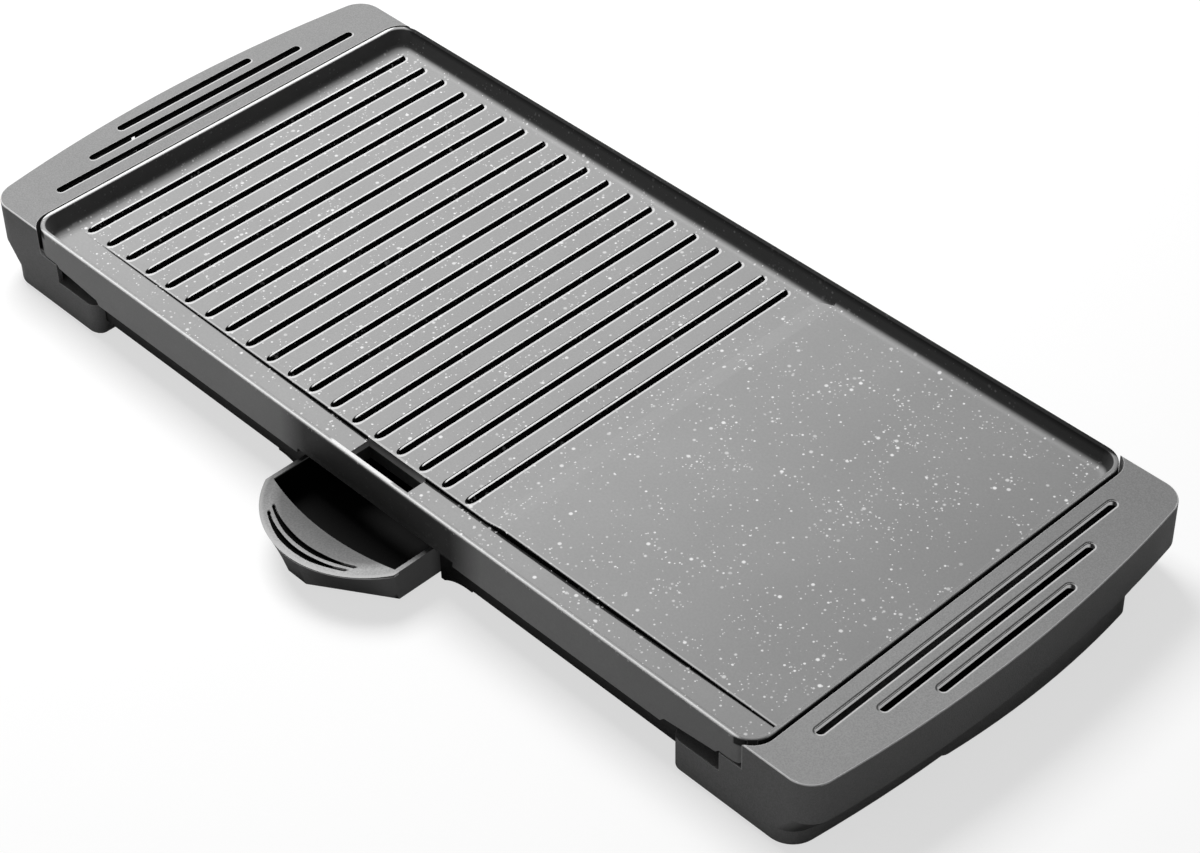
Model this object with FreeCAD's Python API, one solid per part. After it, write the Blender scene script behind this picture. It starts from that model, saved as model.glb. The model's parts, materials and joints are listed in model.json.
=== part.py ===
import FreeCAD, Part
import math
import os
from FreeCAD import Vector

# Open electric table grill: a lift-off cast plate with a ribbed and a flat zone, two end
# housings that are its handles and feet, a lower tray, and a grease drawer at the front.
# Millimetres. While modelling, X = 0 and Y = 0 are the middle of the plate and Z = 0 is the
# table. The front, with the drawer, is towards -Y. Every piece is moved at the end so that
# the origin is the middle of the whole footprint, drawer as shown.

# Cooking plate
plate_length = 478.0
plate_width = 238.0
plate_corner = 12.0
rim_height = 46.0
rim_land = 2.3
rim_rounding = 0.9
basin_depth = 9.0
basin_lean = 2.6
basin_foot = 4.0
plate_floor = 3.5
skirt_height = 21.4
skirt_wall = 3.0
skirt_flare = 1.0
skirt_flare_height = 4.5
skirt_flare_upper = 0.3
skirt_step_run = (51.0, 49.0, 20.0, 18.5, 8.0, 3.0)
skirt_step_rise = (0.0, 2.0, 4.6, 6.4, 6.6, 10.4)
plate_foot_radius = 6.0

# Ribs of the cooking plate
rib_count = 19
rib_pitch = 15.03
rib_height = 1.9
rib_base_width = 4.2
rib_crest_width = 1.3
rib_rounding = 0.4
rib_root = 0.2
rib_side_margin = 8.85
rib_front_margin = 2.6
rib_back_margin = 8.2
rib_front_ramp = 2.5
rib_back_ramp = 1.0
rib_zone_overrun = 15.05
rib_zone_ramp = 10.0

# Grease channel and drain
channel_width = 16.3
channel_right_drop = 0.9
channel_drain_drop = 3.9
channel_strip = 2.0
drain_x = 1.5
drain_length = 38.0
drain_width = 12.4

# End housings, which are the handles and the feet
housing_gap = 1.5
housing_top_drop = 1.0
housing_reach = 39.2
housing_end_margin = 0.5
housing_corner = 13.0
housing_bow_radius = 725.0
housing_wall = 2.5
housing_edge_rounding = 0.8
housing_side_height = 23.2
housing_inner_corner = 12.0
housing_corner_centre = 10.5
plinth_inset = 8.6
plinth_run = 46.0
plinth_bottom = 0.6
plinth_slope_height = 11.5
plinth_edge_chamfer = 1.8
plinth_inner_corner = 6.0
shelf_height = 19.5
bulge_rise = 3.8
bulge_root = 20.0
bulge_radius = 450.0
bulge_middle = 22.0
bulge_half_width = 62.0
bulge_corner = 6.0
bulge_slope_share = 0.6
front_wall_height = 30.2
front_wall_gap = 2.0
pocket_width = 28.0
slot_width = 4.4
slot_places = (10.0, 19.7, 29.3)
slot_half_lengths = (94.3, 67.2, 42.5)
boss_radius = 4.0
pilot_radius = 1.5
boss_end_margin = 14.5

# Lower tray between the end housings
tray_setback = 5.0
tray_wall = 2.2
tray_bottom = 8.0
tray_top = 28.0
tray_edge_chamfer = 1.2
tray_end_clearance = 0.2
vent_width = 3.5
vent_length = 56.0
vent_pitch = 11.0
vent_count = 9
vent_first = 82.0

# Heat reflector
reflector_sheet = 0.6
reflector_height = 22.0
reflector_rim = 5.0
reflector_side_gap = 1.3
reflector_notch_half_width = 24.0
reflector_notch_margin = 1.0
reflector_corner = 6.0
reflector_boss_x = (75.0, 160.0)
reflector_boss_y = 60.0
reflector_boss_radius = 4.5

# Drain chute
chute_wall = 1.2
chute_bottom = 20.9
chute_top_gap = 0.7
chute_flange = 6.0
chute_side_gap = 0.6
chute_front_gap = 0.5
chute_overlap = 2.5

# Grease drawer, shown partly pulled out
drawer_half_width = 43.2
drawer_top = 20.5
drawer_bottom = 3.0
drawer_wall = 2.2
drawer_floor = 2.0
drawer_side_taper = 1.2
drawer_front_taper = 5.1
drawer_length = 118.6
drawer_lip_radius = 50.0
drawer_overhang = 44.6
drawer_inside_radius = 143.0
drawer_lip_depth = 21.5
drawer_nose_half_width = 6.0
drawer_skin = 0.01
lip_room = 6.0
least_hollow = 500.0
groove_width = 1.7
groove_depth = 1.0
groove_insets = (4.8, 9.3)
groove_radii = (49.0, 57.5)
groove_half_spans = (26.0, 27.5)
drawer_side_clearance = 2.0
drawer_closing_travel = 27.0

# Drawer bay, rails and bumpers
bay_wall = 2.2
bay_top = 21.2
bay_bottom = 3.0
bay_cove = 18.0
cove_run_share = 0.3
cove_rise_share = 0.6
rail_setback = 14.0
rail_sheet = 1.0
rail_ledge = 7.0
rail_height = 14.8
rail_rivet_setback = 14.0
rail_rivet_height = 10.2
rail_back_gap = 2.0
rail_wall_gap = 0.1
rail_clearance = 0.4
bumper_radius = 3.0
bumper_depth = 1.6
bumper_stem_radius = 1.4
bumper_barb_rise = 0.8
bumper_barb_depth = 1.4
bumper_height = 11.0
bumper_x = 27.1
drawer_notch_left = 43.2
drawer_notch_right = 60.5
drawer_notch_rise = 2.2

# Heating element and its clips
element_radius = 3.3
element_gap = 0.1
element_side_run = 37.0
element_inner_y = 30.0
element_bend = 20.0
element_end_run = 61.0
element_return_run = 53.0
clip_sheet = 1.0
clip_width = 10.0
clip_foot = 6.0
clip_places = (-60.0, 120.0)

# Terminals for the plug-in thermostat
terminal_y = 15.0
terminal_run = 30.0
terminal_pin_radius = 2.0
terminal_pin_length = 24.0
pin_rounding = 1.2
bracket_run = 26.0
bracket_sheet = 1.2
bracket_half_width = 26.0
bracket_bottom = 20.5
bracket_foot = 12.0
bracket_screw_y = 23.4
bracket_room = 0.5
insulator_radius = 3.2
insulator_neck = 1.0
insulator_length = 8.0
insulator_rounding = 0.8
insulator_neck_overhang = 0.6
probe_outer_radius = 4.0
probe_inner_radius = 2.8
probe_length = 34.0
probe_run_inside = 20.4
probe_end_wall = 1.2
probe_drop = 2.0
earth_sheet = 0.8
earth_y = 23.0
earth_length = 18.0
earth_half_height = 4.0
earth_setback = 2.0
earth_foot = 3.0
inlet_half_width = 29.0
inlet_bottom = 15.5
inlet_top = 31.4
sleeve_wall = 2.0
hatch_overrun = 3.0
sleeve_overhang = 2.5

# Pads, covers and fasteners
pad_radius = 7.0
pad_stem_radius = 2.5
pad_rest_gap = 0.3
rest_pad_height = 2.5
rest_pad_side_run = 24.0
rest_pad_run = 20.0
foot_radius = 8.0
foot_place_run = 12.0
foot_side_run = 17.0
cover_thickness = 2.0
cover_seat = 0.2
cover_clearance = 0.4
cover_recess = 0.6
cover_screw_run = 10.0
screw_radius = 1.45
screw_head_radius = 3.0
screw_head_height = 1.8
screw_length = 8.0
frame_screw_length = 11.0
drive_share = 1.1
drive_slot_share = 0.2
clip_screw_head_radius = 2.4
clip_screw_head_height = 1.5
clip_screw_grip = 2.3
rivet_radius = 1.5
rivet_head_radius = 2.6
rivet_head_height = 0.6
hole_clearance = 0.15
neck_gap = 0.1
snug_gap = 0.05
barb_rise = 1.0
barb_depth = 1.4
pad_rounding = 0.5
pilot_depth = 9.0
boss_length = 11.0

# How far a cutting shape reaches past the piece it cuts, and a joined shape into its neighbour
past = 1.0
root = 0.5

# Levels and places worked out from the values above
half_length = plate_length / 2
half_width = plate_width / 2
flat_level = rim_height - basin_depth
valley_level = flat_level - rib_height
underside = valley_level - plate_floor
skirt_bottom = rim_height - skirt_height
basin_half_length = half_length - rim_land
basin_half_width = half_width - rim_land
basin_corner = plate_corner - rim_land
floor_half_length = basin_half_length - basin_lean
floor_half_width = basin_half_width - basin_lean
step_y = -(floor_half_width - channel_width)
rib_first_x = -floor_half_length + rib_side_margin
rib_last_x = rib_first_x + (rib_count - 1) * rib_pitch
rib_zone_x = rib_last_x + rib_zone_overrun
drain_back = step_y
drain_front = step_y - drain_width
strip_level = underside - channel_strip

housing_inner = half_length + housing_gap
housing_half_width = half_width + housing_end_margin
housing_outer = housing_inner + housing_reach
housing_top = rim_height - housing_top_drop
housing_side_bottom = housing_top - housing_side_height
plinth_inner = half_length - plinth_run
plinth_outer = housing_outer - plinth_inset
cavity_top = housing_top - housing_wall
shelf_under = shelf_height - housing_wall
tray_half_length = plinth_inner - tray_end_clearance
tray_front = half_width - tray_setback
bay_half_width = drawer_half_width + drawer_side_clearance
drawer_front_reach = half_width + drawer_overhang
drawer_back = -drawer_front_reach + drawer_length
bay_back = drawer_back + drawer_closing_travel + drawer_wall
element_z = underside - element_gap - element_radius
element_outer_y = half_width - element_side_run
element_end_x = half_length - element_end_run
element_middle_x = element_end_x - element_return_run
terminal_x = half_length - terminal_run
bracket_x = half_length - bracket_run
rest_pad_y = half_width - rest_pad_side_run
foot_place_y = housing_half_width - boss_end_margin - foot_side_run
cover_bottom = plinth_bottom + cover_seat
cover_top = cover_bottom + cover_thickness
footprint_shift = (drawer_front_reach - half_width - skirt_flare) / 2


def box(x0, x1, y0, y1, z0, z1):
    return Part.makeBox(x1 - x0, y1 - y0, z1 - z0, Vector(x0, y0, z0))


def post(x, y, z0, z1, radius):
    return Part.makeCylinder(radius, z1 - z0, Vector(x, y, z0), Vector(0, 0, 1))


def rod_along_x(x0, x1, y, z, radius):
    return Part.makeCylinder(radius, x1 - x0, Vector(x0, y, z), Vector(1, 0, 0))


def rod_along_y(x, y0, y1, z, radius):
    return Part.makeCylinder(radius, y1 - y0, Vector(x, y0, z), Vector(0, 1, 0))


def joined(pieces):
    whole = pieces[0]
    if len(pieces) > 1:
        whole = whole.fuse(pieces[1:])
    return whole.removeSplitter()


def cut_all(body, tools):
    return body.cut(tools).removeSplitter()


def rounded_wire(half_x, half_y, radius, z):
    """A rectangle with round corners, centred on the axis, at height z."""
    lean = radius * (1 - math.sqrt(0.5))
    edges = []
    corners = ((1, 1), (-1, 1), (-1, -1), (1, -1))
    for k, (sx, sy) in enumerate(corners):
        along_x = Vector(sx * (half_x - radius), sy * half_y, z)
        along_y = Vector(sx * half_x, sy * (half_y - radius), z)
        middle = Vector(sx * (half_x - lean), sy * (half_y - lean), z)
        first, last = (along_y, along_x) if k % 2 == 0 else (along_x, along_y)
        edges.append(Part.Arc(first, middle, last).toShape())
        nx, ny = corners[(k + 1) % 4]
        if k % 2 == 0:
            onward = Vector(nx * (half_x - radius), ny * half_y, z)
        else:
            onward = Vector(nx * half_x, ny * (half_y - radius), z)
        edges.append(Part.LineSegment(last, onward).toShape())
    return Part.Wire(edges)


def rounded_loft(sections):
    """A solid through round-cornered rectangles given as (half_x, half_y, radius, z)."""
    return Part.makeLoft([rounded_wire(*section) for section in sections], True, True)


def rounded_prism(half_x, half_y, radius, z0, z1):
    return rounded_loft([(half_x, half_y, radius, z0), (half_x, half_y, radius, z1)])


def edges_at_height(shape, z):
    found = []
    for edge in shape.Edges:
        if all(abs(vertex.Z - z) < 1e-5 for vertex in edge.Vertexes):
            found.append(edge)
    return found


def prism_xz(points, y0, y1):
    """A prism with the outline points (x, z), between two Y planes."""
    wire = Part.makePolygon([Vector(x, y0, z) for x, z in points + points[:1]])
    return Part.Face(wire).extrude(Vector(0, y1 - y0, 0))


def turned_half(shape):
    """The same shape turned half a turn about the vertical axis."""
    copy = shape.copy()
    copy.rotate(Vector(0, 0, 0), Vector(0, 0, 1), 180)
    return copy


def mirrored_in_y(shape):
    return shape.mirror(Vector(0, 0, 0), Vector(0, 1, 0))


def screw(x, y, seat, tip, head_radius, head_height, shank_radius):
    """A pan-head screw on a vertical axis: its head hangs under seat, its tip is higher."""
    head = post(x, y, seat - head_height, seat, head_radius)
    rim = edges_at_height(head, seat - head_height)
    head = head.makeFillet(head_height * 0.5, rim)
    drive = head_radius * drive_share
    slot = head_radius * drive_slot_share
    low = seat - head_height
    cross = []
    for half_x, half_y in ((drive / 2, slot / 2), (slot / 2, drive / 2)):
        cross.append(box(x - half_x, x + half_x, y - half_y, y + half_y,
                         low - past, low + head_height / 2))
    return head.cut(cross).fuse(post(x, y, seat, tip, shank_radius))


def plate_body():
    """The cast plate: skirt outside, basin on top, hollow underneath."""
    flare_start = skirt_bottom + skirt_flare_height
    outer = rounded_loft([
        (half_length + skirt_flare, half_width + skirt_flare, plate_corner + skirt_flare, skirt_bottom),
        (half_length + skirt_flare_upper, half_width + skirt_flare_upper, plate_corner, flare_start),
        (half_length, half_width, plate_corner, rim_height)])
    outer = outer.makeFillet(rim_rounding, edges_at_height(outer, rim_height))
    hollow = rounded_prism(half_length - skirt_wall, half_width - skirt_wall,
                           plate_corner - skirt_wall, skirt_bottom - past, underside)
    channel_roof = box(-half_length + skirt_wall, half_length - skirt_wall,
                       -half_width + skirt_wall, step_y + skirt_wall, strip_level, underside)
    return outer.cut(hollow.cut(channel_roof))


def basin(level):
    """The basin's space down to one floor level, with a rounded foot all round."""
    lean = basin_lean * (rim_height - level) / basin_depth
    space = rounded_loft([
        (basin_half_length - lean, basin_half_width - lean, basin_corner - lean, level),
        (basin_half_length, basin_half_width, basin_corner, rim_height)])
    return space.makeFillet(basin_foot, edges_at_height(space, level))


def basin_space():
    """The ribbed zone is lower than the flat zone by one rib height, with a ramp between."""
    reach = half_length + past
    ramp_end = rib_zone_x + rib_zone_ramp
    low = valley_level - past
    outline = [(-reach, low), (rib_zone_x, low), (rib_zone_x, valley_level),
               (ramp_end, flat_level), (ramp_end, rim_height), (-reach, rim_height)]
    over_ribs = prism_xz(outline, -reach, reach)
    ribbed = basin(valley_level).common(over_ribs)
    flat = basin(flat_level).common(box(rib_zone_x, reach, -reach, reach, 0, rim_height + past))
    return joined([ribbed, flat])


def channel_space():
    """The grease channel behind the front rim falls from both ends to the drain."""
    wall_lean = basin_lean * (rim_height - valley_level) / basin_depth
    left = -(basin_half_length - wall_lean - basin_foot)
    right = floor_half_length
    drain_left = drain_x - drain_length / 2
    drain_right = drain_x + drain_length / 2
    low = flat_level - channel_drain_drop
    roof = flat_level + past
    outline = [(left, valley_level), (drain_left, low), (drain_right, low),
               (right, flat_level - channel_right_drop), (right, roof), (left, roof)]
    channel = prism_xz(outline, -(basin_half_width - wall_lean), step_y)
    drain = box(drain_left, drain_right, drain_front, drain_back, strip_level - past, roof)
    return channel.fuse(drain)


def rib(x):
    """One raised rib along Y, a long point at the front and a blunt end at the back."""
    y0 = step_y + rib_front_margin
    y1 = floor_half_width - rib_back_margin
    half_base = rib_base_width / 2
    half_crest = rib_crest_width / 2
    base_level = valley_level - rib_root
    wedge = Part.makeWedge(-half_base, 0, y0, y0 + rib_front_ramp, -half_crest,
                           half_base, flat_level - base_level, y1, y1 - rib_back_ramp, half_crest)
    wedge.rotate(Vector(0, 0, 0), Vector(1, 0, 0), 90)
    wedge = wedge.mirror(Vector(0, 0, 0), Vector(0, 1, 0))
    wedge.translate(Vector(x, 0, base_level))
    crest = [edge for edge in edges_at_height(wedge, flat_level) if edge.Length > rib_base_width]
    return wedge.makeFillet(rib_rounding, crest)


def skirt_edge_cuts():
    """The skirt's lower edge steps up towards each end, and over the drawer."""
    steps = [(half_length - run, skirt_bottom + rise)
             for run, rise in zip(skirt_step_run, skirt_step_rise)]
    outline = [(half_length - skirt_step_run[0], skirt_bottom - past)] + steps
    outline += [(half_length + 5 * past, steps[-1][1]), (half_length + 5 * past, skirt_bottom - past)]
    reach = half_width + 5 * past
    right = prism_xz(outline, -reach, reach)
    notch = box(drain_x - drawer_notch_left, drain_x + drawer_notch_right, -reach,
                -half_width + skirt_wall + past, skirt_bottom - past, skirt_bottom + drawer_notch_rise)
    inlet = box(-half_length - 5 * past, -half_length + skirt_wall + past,
                -inlet_half_width, inlet_half_width, skirt_bottom - past, inlet_top)
    return [right, turned_half(right), notch, inlet]


def foot_places():
    x = plinth_inner + rest_pad_run
    return [(sx * x, sy * rest_pad_y) for sx in (-1, 1) for sy in (-1, 1)]


def clip_screw_places():
    side = element_radius + element_gap + clip_sheet + clip_foot / 2
    places = []
    for x in clip_places:
        for run in (-element_outer_y, -element_inner_y, element_inner_y, element_outer_y):
            places += [(x, run - side), (x, run + side)]
    return places


def bracket_screw_places():
    x = -bracket_x + bracket_sheet + bracket_foot / 2
    return [(x, -bracket_screw_y), (x, bracket_screw_y)]


def grill_plate():
    body = cut_all(plate_body(), [basin_space()])
    half_x = basin_half_length + snug_gap
    half_y = basin_half_width + snug_gap
    inside_rim = FreeCAD.BoundBox(-half_x, -half_y, 0, half_x, half_y, rim_height + past)
    inner_rim = [edge for edge in edges_at_height(body, rim_height) if inside_rim.isInside(edge.BoundBox)]
    body = body.makeFillet(rim_rounding, inner_rim)
    body = body.cut([channel_space()] + skirt_edge_cuts())
    ribs = [rib(rib_first_x + k * rib_pitch) for k in range(rib_count)]
    foot_bottom = shelf_height + rest_pad_height + pad_rest_gap
    feet = [post(x, y, foot_bottom, underside + root, plate_foot_radius) for x, y in foot_places()]
    body = body.fuse(ribs + feet)
    holes = [post(x, y, underside - past, underside + clip_screw_grip + hole_clearance,
                  screw_radius + hole_clearance)
             for x, y in clip_screw_places() + bracket_screw_places()]
    return cut_all(body, holes)


def bowed_wire(apex, radius, inner_x, half_y, corner, z, inner_corner=0):
    """Plan of an end piece: straight inside and front and back, bowed outside, round corners."""
    centre = apex - radius
    swing = math.sqrt((radius - corner) ** 2 - (half_y - corner) ** 2)
    pivot_x = centre + swing
    edges = []
    corners = []
    for side in (-1, 1):
        pivot = Vector(pivot_x, side * (half_y - corner), z)
        out = (pivot - Vector(centre, 0, z)).normalize()
        flat = Vector(0, side, 0)
        middle = (out + flat).normalize()
        on_bow = pivot + out * corner
        on_flat = pivot + flat * corner
        corners.append((on_flat, pivot + middle * corner, on_bow))
    (flat_a, middle_a, bow_a), (flat_b, middle_b, bow_b) = corners
    inner_a = Vector(inner_x + inner_corner, -half_y, z)
    inner_b = Vector(inner_x + inner_corner, half_y, z)
    edges.append(Part.LineSegment(inner_a, flat_a).toShape())
    edges.append(Part.Arc(flat_a, middle_a, bow_a).toShape())
    edges.append(Part.Arc(bow_a, Vector(apex, 0, z), bow_b).toShape())
    edges.append(Part.Arc(bow_b, middle_b, flat_b).toShape())
    edges.append(Part.LineSegment(flat_b, inner_b).toShape())
    if inner_corner == 0:
        edges.append(Part.LineSegment(inner_b, inner_a).toShape())
        return Part.Wire(edges)
    lean = inner_corner * (1 - math.sqrt(0.5))
    side_a = Vector(inner_x, inner_corner - half_y, z)
    side_b = Vector(inner_x, half_y - inner_corner, z)
    edges.append(Part.Arc(inner_b, Vector(inner_x + lean, half_y - lean, z), side_b).toShape())
    edges.append(Part.LineSegment(side_b, side_a).toShape())
    edges.append(Part.Arc(side_a, Vector(inner_x + lean, lean - half_y, z), inner_a).toShape())
    return Part.Wire(edges)


def end_wire(inset, inner_x, z, inner_corner=0):
    """The housing's outline, moved in by inset on the bowed side only."""
    return bowed_wire(housing_outer - inset, housing_bow_radius - inset, inner_x,
                      housing_half_width, housing_corner, z, inner_corner)


def inside_wire(inset, wall, inner_x, z):
    """The same outline, moved in by a wall on every side."""
    return bowed_wire(housing_outer - inset - wall, housing_bow_radius - inset - wall, inner_x,
                      housing_half_width - wall, housing_corner - wall, z)


def raised(wire, height):
    return Part.Face(wire).extrude(Vector(0, 0, height))


def plate_clearance(z0, z1):
    """The space that the plate needs between the end housings."""
    half_y = half_width - housing_corner_centre + housing_inner_corner
    return rounded_prism(housing_inner, half_y, housing_inner_corner, z0, z1)


def housing_outside(bulged):
    """The end housing before it is hollowed: handle above, set-back plinth below."""
    inner_edge = housing_inner - housing_inner_corner
    upper = raised(end_wire(0, inner_edge, housing_side_bottom), housing_top - housing_side_bottom)
    upper = upper.makeFillet(housing_edge_rounding, [edge for edge in edges_at_height(upper, housing_top)
                                                     if edge.BoundBox.XMax > inner_edge + past])
    slope_foot = housing_side_bottom - plinth_slope_height
    round_in = plinth_inner_corner
    slope = Part.makeLoft([end_wire(plinth_inset, plinth_inner, slope_foot, round_in),
                           end_wire(0, plinth_inner, housing_side_bottom, round_in)], True, True)
    plinth = raised(end_wire(plinth_inset, plinth_inner, plinth_bottom, round_in),
                    slope_foot - plinth_bottom)
    plinth = plinth.makeChamfer(plinth_edge_chamfer, edges_at_height(plinth, plinth_bottom))
    pieces = [upper, slope, plinth]
    if bulged:
        pieces.append(plinth_bulge(slope_foot))
    solid = joined(pieces).cut(plate_clearance(shelf_height, rim_height + 5 * past))
    front_wall = box(plinth_inner + pocket_width, housing_inner - front_wall_gap, -housing_half_width,
                     -housing_half_width + housing_wall, shelf_height - past, front_wall_height)
    return joined([solid, front_wall, mirrored_in_y(front_wall)])


def plinth_bulge(slope_foot):
    """A bowed thickening of the plinth under the handle, off the middle."""
    low = plinth_bottom + plinth_edge_chamfer
    wire = bowed_wire(plinth_outer + bulge_rise, bulge_radius, plinth_outer - bulge_root,
                      bulge_half_width, bulge_corner, low)
    bulge = raised(wire, slope_foot + plinth_slope_height * bulge_slope_share - low)
    bulge.translate(Vector(0, bulge_middle, 0))
    foot = raised(end_wire(plinth_inset + plinth_edge_chamfer, plinth_inner, plinth_bottom),
                  low - plinth_bottom)
    return bulge.cut(foot)


def housing_cavity():
    wall = housing_wall
    inner_x = housing_inner + wall
    floor = housing_side_bottom + wall
    handle = raised(inside_wire(0, wall, inner_x, floor), cavity_top - floor)
    low = plinth_bottom - past
    well = raised(inside_wire(plinth_inset, wall, inner_x, low), floor + past - low)
    under_shelf = box(plinth_inner + wall, inner_x, -housing_half_width + wall,
                      housing_half_width - wall, plinth_bottom - past, shelf_under)
    return handle.fuse([well, under_shelf])


def housing_slots():
    slots = []
    for place, half in zip(slot_places, slot_half_lengths):
        x = housing_inner + place
        straight = half - slot_width / 2
        opening = box(x - slot_width / 2, x + slot_width / 2, -straight, straight,
                      cavity_top - past, housing_top + past)
        ends = [post(x, y, cavity_top - past, housing_top + past, slot_width / 2)
                for y in (-straight, straight)]
        slots.append(opening.fuse(ends))
    return slots


def cover_screw_places():
    """Where the bottom cover screws into the right housing: (x, y, ceiling of the boss)."""
    y = housing_half_width - boss_end_margin
    places = []
    for side in (-1, 1):
        places.append((plinth_inner + cover_screw_run, side * y, shelf_under))
        places.append((housing_inner + boss_end_margin, side * y, cavity_top))
    return places


def frame_screw_places():
    height = (tray_bottom + tray_wall + shelf_under) / 2 + root
    return [(side * reflector_boss_y, height) for side in (-1, 1)]


def end_housing(bulged):
    """An end housing at the right, hollow from below, with its screw bosses."""
    body = housing_outside(bulged).cut([housing_cavity()] + housing_slots())
    bosses = []
    pilots = []
    for x, y, ceiling in cover_screw_places():
        bosses.append(post(x, y, cover_top, ceiling + root, boss_radius))
        pilots.append(post(x, y, cover_top - past, cover_top + pilot_depth, pilot_radius))
    x0 = plinth_inner + past
    for y, z in frame_screw_places():
        bosses.append(rod_along_x(x0, x0 + boss_length, y, z, boss_radius))
        pilots.append(rod_along_x(x0 - 2 * past, x0 + pilot_depth, y, z, pilot_radius))
    stems = [post(x, y, shelf_under - past, shelf_height + past, pad_stem_radius + hole_clearance)
             for x, y in foot_places() if x > 0]
    return cut_all(body.fuse(bosses), pilots + stems)


def left_end_housing():
    """The left housing is the right one turned round, with a way in for the thermostat plug."""
    clear = sleeve_wall + snug_gap
    half_y = inlet_half_width + clear
    tunnel = box(-housing_outer - 5 * past, -housing_inner + past, -half_y, half_y,
                 inlet_bottom - clear, inlet_top + clear)
    hatch = box(-housing_inner - past, -terminal_x + hatch_overrun, -inlet_half_width, inlet_half_width,
                shelf_under - past, shelf_height + past)
    return cut_all(turned_half(end_housing(False)), [tunnel, hatch])


def inlet_sleeve():
    """A lining through the left housing that guides the thermostat plug."""
    x0 = -(plinth_outer + sleeve_overhang)
    x1 = -housing_inner - snug_gap
    w = sleeve_wall
    tube = box(x0, x1, -inlet_half_width - w, inlet_half_width + w, inlet_bottom - w, inlet_top + w)
    inside = box(x0 - past, x1 + past, -inlet_half_width, inlet_half_width, inlet_bottom, inlet_top)
    return tube.cut(inside)


def foot_pad_places():
    x_in = plinth_inner + foot_place_run + foot_radius
    x_out = plinth_outer - housing_corner - foot_radius
    return [(x, sy * foot_place_y) for x in (x_in, x_out) for sy in (-1, 1)]


def bottom_cover():
    """The flat cover under the right housing, inside the plinth's walls."""
    inset = housing_wall + cover_clearance
    solid = raised(inside_wire(plinth_inset, inset, plinth_inner + inset, cover_bottom), cover_thickness)
    holes = []
    for x, y, ceiling in cover_screw_places():
        holes.append(post(x, y, 0, cover_top + past, screw_radius + hole_clearance))
    for x, y in foot_pad_places():
        holes.append(post(x, y, 0, cover_top + past, pad_stem_radius + hole_clearance))
    heads = [post(x, y, 0, cover_bottom + cover_recess, screw_head_radius + hole_clearance)
             for x, y, ceiling in cover_screw_places()]
    return cut_all(solid, holes + heads)


def cover_screws():
    """Flat heads sit in the cover's recesses, above the plinth's lower edge."""
    screws = []
    for x, y, ceiling in cover_screw_places():
        seat = cover_bottom + cover_recess
        tip = cover_top + screw_length
        screws.append(screw(x, y, seat, tip, screw_head_radius, seat - neck_gap, screw_radius))
    return screws + [turned_half(each) for each in screws]


def foot_pads():
    """Rubber pads on stems through the covers: the grill stands on them."""
    pads = []
    for x, y in foot_pad_places():
        disc = post(x, y, 0, cover_bottom, foot_radius)
        disc = disc.makeFillet(pad_rounding, edges_at_height(disc, 0))
        stem = post(x, y, cover_bottom, cover_top + neck_gap, pad_stem_radius)
        hook = cover_top + neck_gap
        barb = post(x, y, hook, hook + barb_depth, pad_stem_radius + barb_rise)
        pads.append(joined([disc, stem, barb]))
    return pads + [turned_half(pad) for pad in pads]


def plate_rest_pads():
    """Silicone pads on the housings' shelves carry the plate's four feet."""
    pads = []
    for x, y in foot_places():
        disc = post(x, y, shelf_height, shelf_height + rest_pad_height, pad_radius)
        disc = disc.makeFillet(pad_rounding, edges_at_height(disc, shelf_height + rest_pad_height))
        hook = shelf_under - neck_gap
        stem = post(x, y, hook, shelf_height, pad_stem_radius)
        barb = post(x, y, hook - barb_depth, hook, pad_stem_radius + barb_rise)
        pads.append(joined([disc, stem, barb]))
    return pads


def base_tray():
    """The lower tray: floor and walls between the end housings, with the drawer bay."""
    w = tray_wall
    length = tray_half_length
    shell = box(-length, length, -tray_front, tray_front, tray_bottom, tray_top)
    lower = [edge for edge in edges_at_height(shell, tray_bottom) if edge.Length > 2 * tray_front]
    shell = shell.makeChamfer(tray_edge_chamfer, lower)
    half_y = tray_front - w
    high = tray_top + past
    inside = box(-length + w, length - w, -half_y, half_y, tray_bottom + w, high)
    end_gap = box(-length - past, length + past, -half_y, half_y, shelf_height, high)
    shell = shell.cut([inside, end_gap])
    reach = bay_half_width + bay_wall
    bay = box(drain_x - reach, drain_x + reach, -tray_front, bay_back + bay_wall, bay_bottom, bay_top)
    hollow = box(drain_x - bay_half_width, drain_x + bay_half_width, -tray_front - past, bay_back,
                 bay_bottom - past, bay_top)
    open_top = box(drain_x - bay_half_width, drain_x + bay_half_width, -tray_front + w, bay_back,
                   bay_bottom - past, bay_top + past)
    cove = bay_cove_piece(drain_x + reach)
    coves = [cove, cove.mirror(Vector(drain_x, 0, 0), Vector(1, 0, 0))]
    body = shell.fuse([bay] + coves).cut([hollow, open_top])
    bosses = []
    holes = []
    for x, y in reflector_screw_places():
        bosses.append(post(x, y, tray_bottom + w - root, reflector_height - neck_gap,
                           reflector_boss_radius))
        holes.append(post(x, y, tray_bottom + w, reflector_height, pilot_radius))
    for side in (-1, 1):
        for k in range(vent_count):
            x = side * (vent_first + k * vent_pitch)
            holes.append(box(x - vent_width / 2, x + vent_width / 2, -vent_length / 2, vent_length / 2,
                             tray_bottom - past, tray_bottom + w + past))
        for y, z in frame_screw_places():
            middle = side * length
            holes.append(rod_along_x(middle - 2 * w, middle + 2 * w, y, z, screw_radius + hole_clearance))
    holes += [rod_along_x(*place, rivet_radius + hole_clearance) for place in rail_rivet_rods()]
    stem_hole = bumper_stem_radius + hole_clearance
    holes += [rod_along_y(x, bay_back - past, bay_back + bay_wall + past, z, stem_hole)
              for x, z in bumper_places()]
    return cut_all(body.fuse(bosses), holes)


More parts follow.
